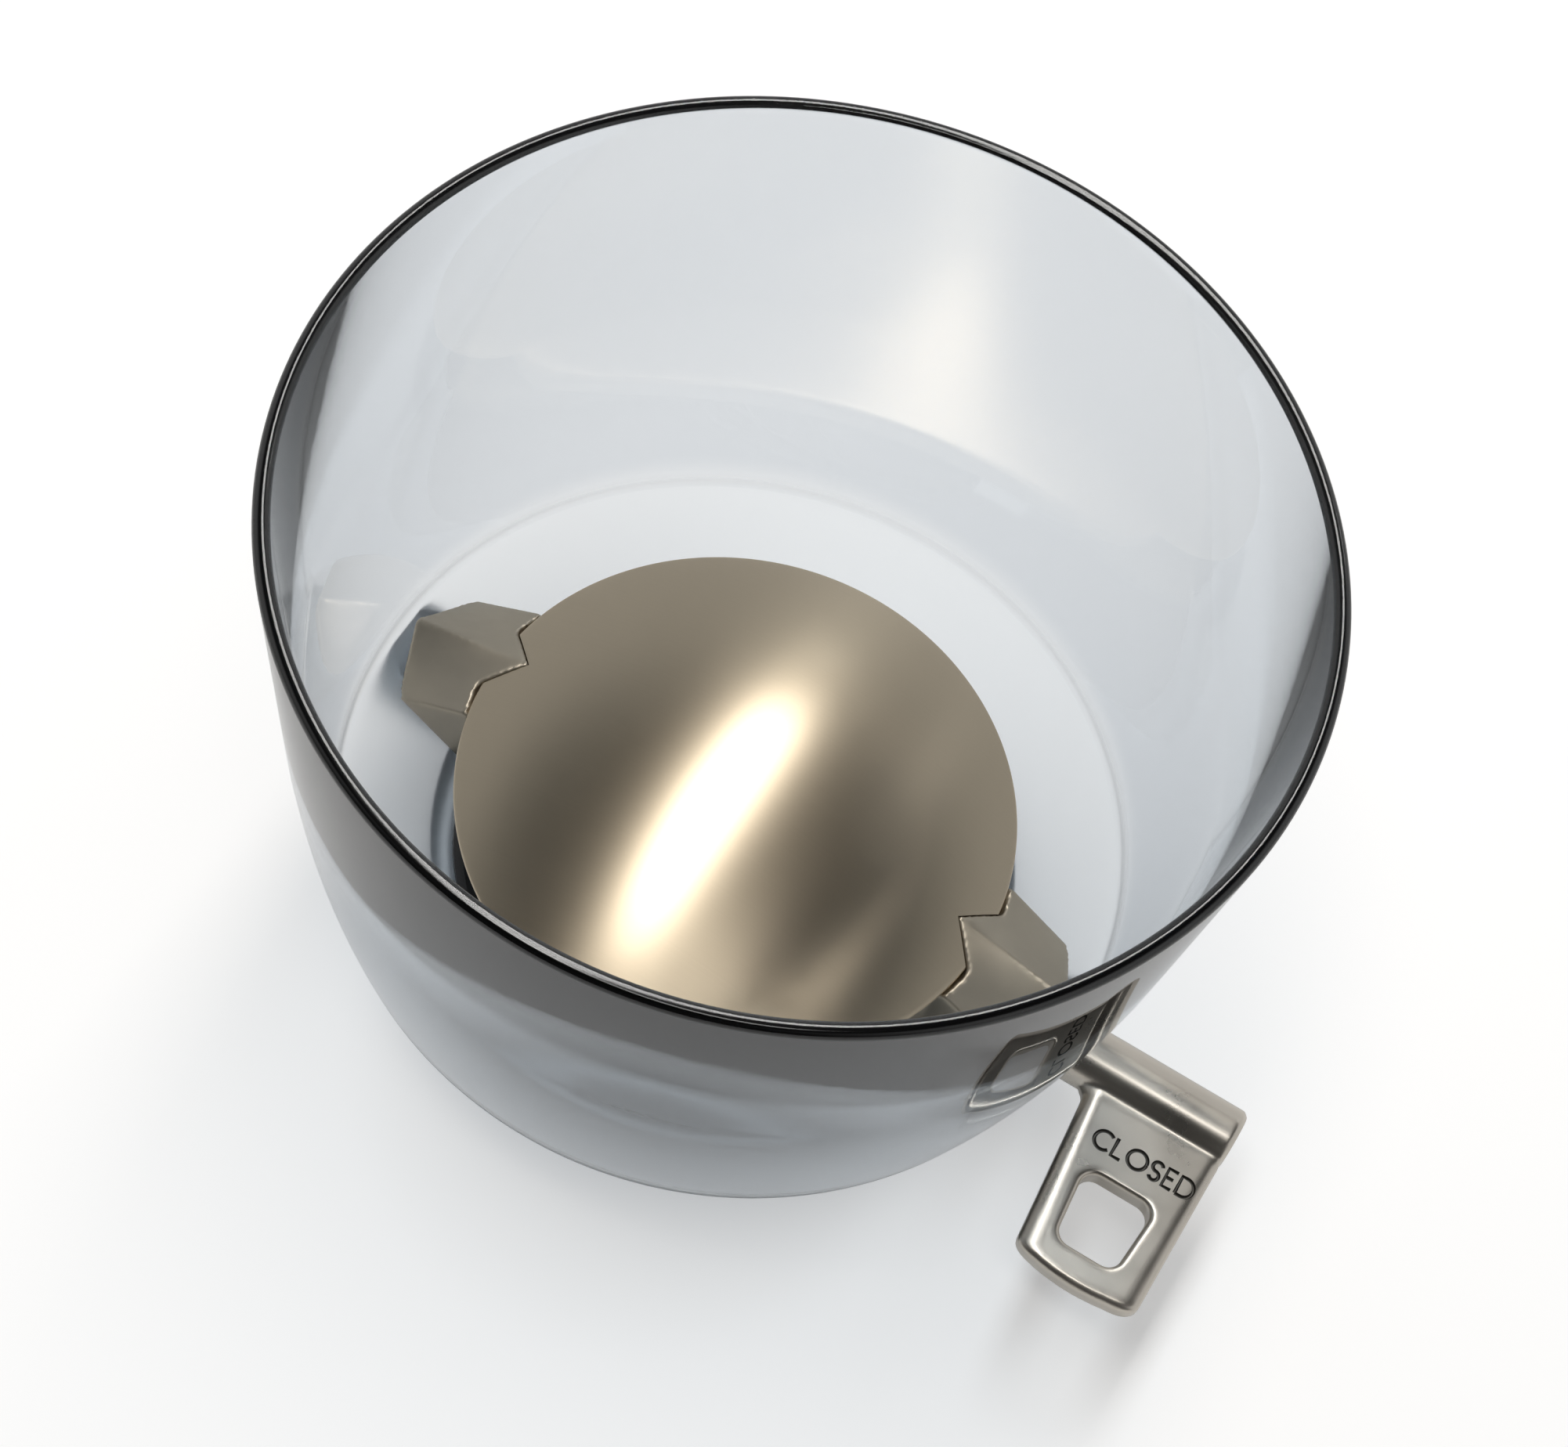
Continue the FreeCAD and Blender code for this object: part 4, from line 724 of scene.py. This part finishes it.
class HOPPER_OT_inner_pieces(bpy.types.Operator):
    """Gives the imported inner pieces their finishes"""

    bl_idname = "hopper.inner_pieces"
    bl_label = "Inner pieces"

    FINISHES = {
        "turned_steel": ["dome_nuts", "clamp_screws", "shaft", "retaining_clip", "shutter", "shutter_pins",
                         "detent_ball", "detent_spring", "detent_screw", "lever_grub_screw"],
        "dark_moulding": ["valve_body"],
        "bearing_plastic": ["outer_bush", "inner_bush", "thrust_washer"],
        "seal_rubber": ["neck_gasket", "shaft_seal", "shutter_seal"],
    }

    def execute(self, context):
        for finish, nodes in self.FINISHES.items():
            for node in nodes:
                for slot in frame["nodes"][node].material_slots:
                    slot.material = bpy.data.materials[finish]
        return {"FINISHED"}


class HOPPER_OT_stage(bpy.types.Operator):
    """Sets up the floor, the surroundings, the lamps and the camera"""

    bl_idname = "hopper.stage"
    bl_label = "Stage"

    def execute(self, context):
        context.scene.view_settings.view_transform = "Standard"
        self.floor()
        self.surroundings(context)
        # The window-like lamp that draws the bright band across the dome
        self.lamp(context, "window", (-0.17, 0.22, 0.95), 0.95, (0.20, 1.15), 6.3, (1.0, 0.985, 0.96))
        # A weaker lamp for the dome's bright front, and a small one for the streak by its right edge
        self.lamp(context, "front_card", (0.06, -0.32, 0.95), 0.95, (0.46, 0.15), 0.9, (1.0, 0.99, 0.97))
        self.lamp(context, "small_lamp", (0.33, 0.79, 0.52), 1.1, (0.12, 0.04), 0.08, (1.0, 0.99, 0.97))
        self.camera(context)
        return {"FINISHED"}

    def seen(self, tree, rays):
        """A mask of what the camera sees, by itself or straight through the clear bowl."""
        direct = add_node(tree, "Math", operation="LESS_THAN", inputs={0: rays.outputs["Glossy Depth"], 1: 0.5})
        through = add_node(tree, "Math", operation="MULTIPLY",
                           inputs={0: rays.outputs["Is Transmission Ray"], 1: direct.outputs[0]})
        mask = add_node(tree, "Math", operation="MAXIMUM",
                        inputs={0: rays.outputs["Is Camera Ray"], 1: through.outputs[0]})
        return mask.outputs[0]

    def floor(self):
        """A pale floor that keeps the shadow and reads as white to the camera."""
        deselect()
        bpy.ops.mesh.primitive_plane_add(size=6, location=(0, 0, -0.0002))
        floor = bpy.context.object
        floor.name = "floor"
        material = bpy.data.materials.new("pale_floor")
        material.use_nodes = True
        tree = material.node_tree
        tree.nodes.clear()
        rays = add_node(tree, "LightPath")
        seen = self.seen(tree, rays)
        shiny = add_node(tree, "Math", operation="MULTIPLY", inputs={0: rays.outputs["Is Glossy Ray"], 1: 0.3})
        seen_all = add_node(tree, "Math", operation="MAXIMUM", inputs={0: seen, 1: shiny.outputs[0]})
        place = add_node(tree, "TexCoord")
        away = add_node(tree, "VectorMath", operation="LENGTH", inputs={0: place.outputs["Object"]})
        # The floor far from the lamps stays as white as the floor under them
        level = add_node(tree, "MapRange", interpolation_type="SMOOTHSTEP",
                         inputs={"Value": away.outputs["Value"], "From Min": 0.12, "From Max": 1.6,
                                 "To Min": 0.30, "To Max": 0.95})
        lift = add_node(tree, "Math", operation="MULTIPLY", inputs={0: seen_all.outputs[0], 1: level.outputs[0]})
        matt = add_node(tree, "BsdfDiffuse", inputs={"Color": (0.88, 0.88, 0.88, 1)})
        glow = add_node(tree, "Emission", inputs={"Color": (1, 1, 1, 1), "Strength": lift.outputs[0]})
        both = add_node(tree, "AddShader", inputs={0: matt.outputs[0], 1: glow.outputs[0]})
        output = add_node(tree, "OutputMaterial", inputs={"Surface": both.outputs[0]})
        output.is_active_output = True
        floor.data.materials.append(material)
        floor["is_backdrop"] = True

    def surroundings(self, context):
        """A room that is pale near the horizon, and dark overhead and in front; the camera sees plain white."""
        world = bpy.data.worlds.new("room")
        context.scene.world = world
        world.use_nodes = True
        tree = world.node_tree
        tree.nodes.clear()
        place = add_node(tree, "TexCoord")
        axes = add_node(tree, "SeparateXYZ", inputs={0: place.outputs["Generated"]})
        height = add_node(tree, "MapRange", interpolation_type="SMOOTHSTEP",
                          inputs={"Value": axes.outputs["Z"], "From Min": 0.50, "From Max": 0.78,
                                  "To Min": 0.70, "To Max": 0.05})
        front = add_node(tree, "MapRange", interpolation_type="SMOOTHSTEP",
                         inputs={"Value": axes.outputs["Y"], "From Min": -0.80, "From Max": -0.25,
                                 "To Min": 0.08, "To Max": 1.0})
        room = add_node(tree, "Math", operation="MULTIPLY", inputs={0: height.outputs[0], 1: front.outputs[0]})
        rays = add_node(tree, "LightPath")
        seen = self.seen(tree, rays)
        level = add_node(tree, "Mix", data_type="FLOAT", inputs={0: seen, 2: room.outputs[0],
                                                                 3: 1.0})
        sky = add_node(tree, "Background", inputs={"Color": (1, 1, 1, 1), "Strength": level.outputs[0]})
        add_node(tree, "OutputWorld", inputs={"Surface": sky.outputs[0]})

    def lamp(self, context, name, direction, distance, size, power, tint):
        """A soft rectangular lamp that faces the hopper."""
        light = bpy.data.lights.new(name, "AREA")
        light.shape = "RECTANGLE"
        light.size, light.size_y = size
        light.energy = power
        light.color = tint
        item = bpy.data.objects.new(name, light)
        context.scene.collection.objects.link(item)
        away = Vector(direction).normalized()
        item.location = away * distance + Vector((0, 0, 0.04))
        across = Vector((0, 1, 0)).cross(away).normalized()
        item.rotation_euler = Matrix((across, away.cross(across), away)).transposed().to_euler()

    def camera(self, context):
        """The camera at the photograph's place: turned, tipped down and rolled."""
        image_width, image_height = 2002, 1848
        focal, centre_x, centre_y = 3999.64, 975.47, 900.24
        turn, pitch, roll = math.radians(17), math.radians(59.585), math.radians(15.349)
        lens = bpy.data.cameras.new("camera")
        lens.sensor_width = 36
        lens.lens = focal * lens.sensor_width / image_width
        lens.shift_x = (image_width / 2 - centre_x) / image_width
        lens.shift_y = (centre_y - image_height / 2) / image_width
        lens.clip_start, lens.clip_end = 0.02, 20
        camera = bpy.data.objects.new("camera", lens)
        context.scene.collection.objects.link(camera)
        aim = (Matrix.Rotation(turn, 4, "Z") @ Matrix.Rotation(math.pi / 2 - pitch, 4, "X")
               @ Matrix.Rotation(roll, 4, "Z"))
        camera.matrix_world = Matrix.Translation((59.64 * MM, -195.09 * MM, 405.32 * MM)) @ aim
        context.scene.camera = camera


class HOPPER_PT_panel(bpy.types.Panel):
    """Lists the steps and the sizes in the sidebar"""

    bl_idname = "HOPPER_PT_panel"
    bl_label = "Bean hopper"
    bl_space_type = "VIEW_3D"
    bl_region_type = "UI"
    bl_category = "Hopper"

    def draw(self, context):
        for step in STEPS:
            self.layout.operator(step.bl_idname)
        for group in (context.scene.hopper_sizes, context.scene.hopper_colours):
            for name in group.__annotations__:
                self.layout.prop(group, name)


STEPS = [HOPPER_OT_finishes, HOPPER_OT_bowl, HOPPER_OT_dome, HOPPER_OT_bridge, HOPPER_OT_lever,
         HOPPER_OT_inner_pieces, HOPPER_OT_stage]
CLASSES = [HopperSizes, HopperColours, *STEPS, HOPPER_PT_panel]


def register():
    for item in CLASSES:
        bpy.utils.register_class(item)
    bpy.types.Scene.hopper_sizes = bpy.props.PointerProperty(type=HopperSizes)
    bpy.types.Scene.hopper_colours = bpy.props.PointerProperty(type=HopperColours)


def unregister():
    del bpy.types.Scene.hopper_colours
    del bpy.types.Scene.hopper_sizes
    for item in reversed(CLASSES):
        bpy.utils.unregister_class(item)


def main():
    register()
    bpy.ops.hopper.finishes()
    bpy.ops.hopper.bowl()
    bpy.ops.hopper.dome()
    bpy.ops.hopper.bridge()
    bpy.ops.hopper.lever()
    bpy.ops.hopper.inner_pieces()
    bpy.ops.hopper.stage()
    boxes = {"cad": CAD_BOX, "visual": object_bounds()}
    plain = {name: [list(corner) for corner in box] for name, box in boxes.items()}


if __name__ == "__main__":
    main()
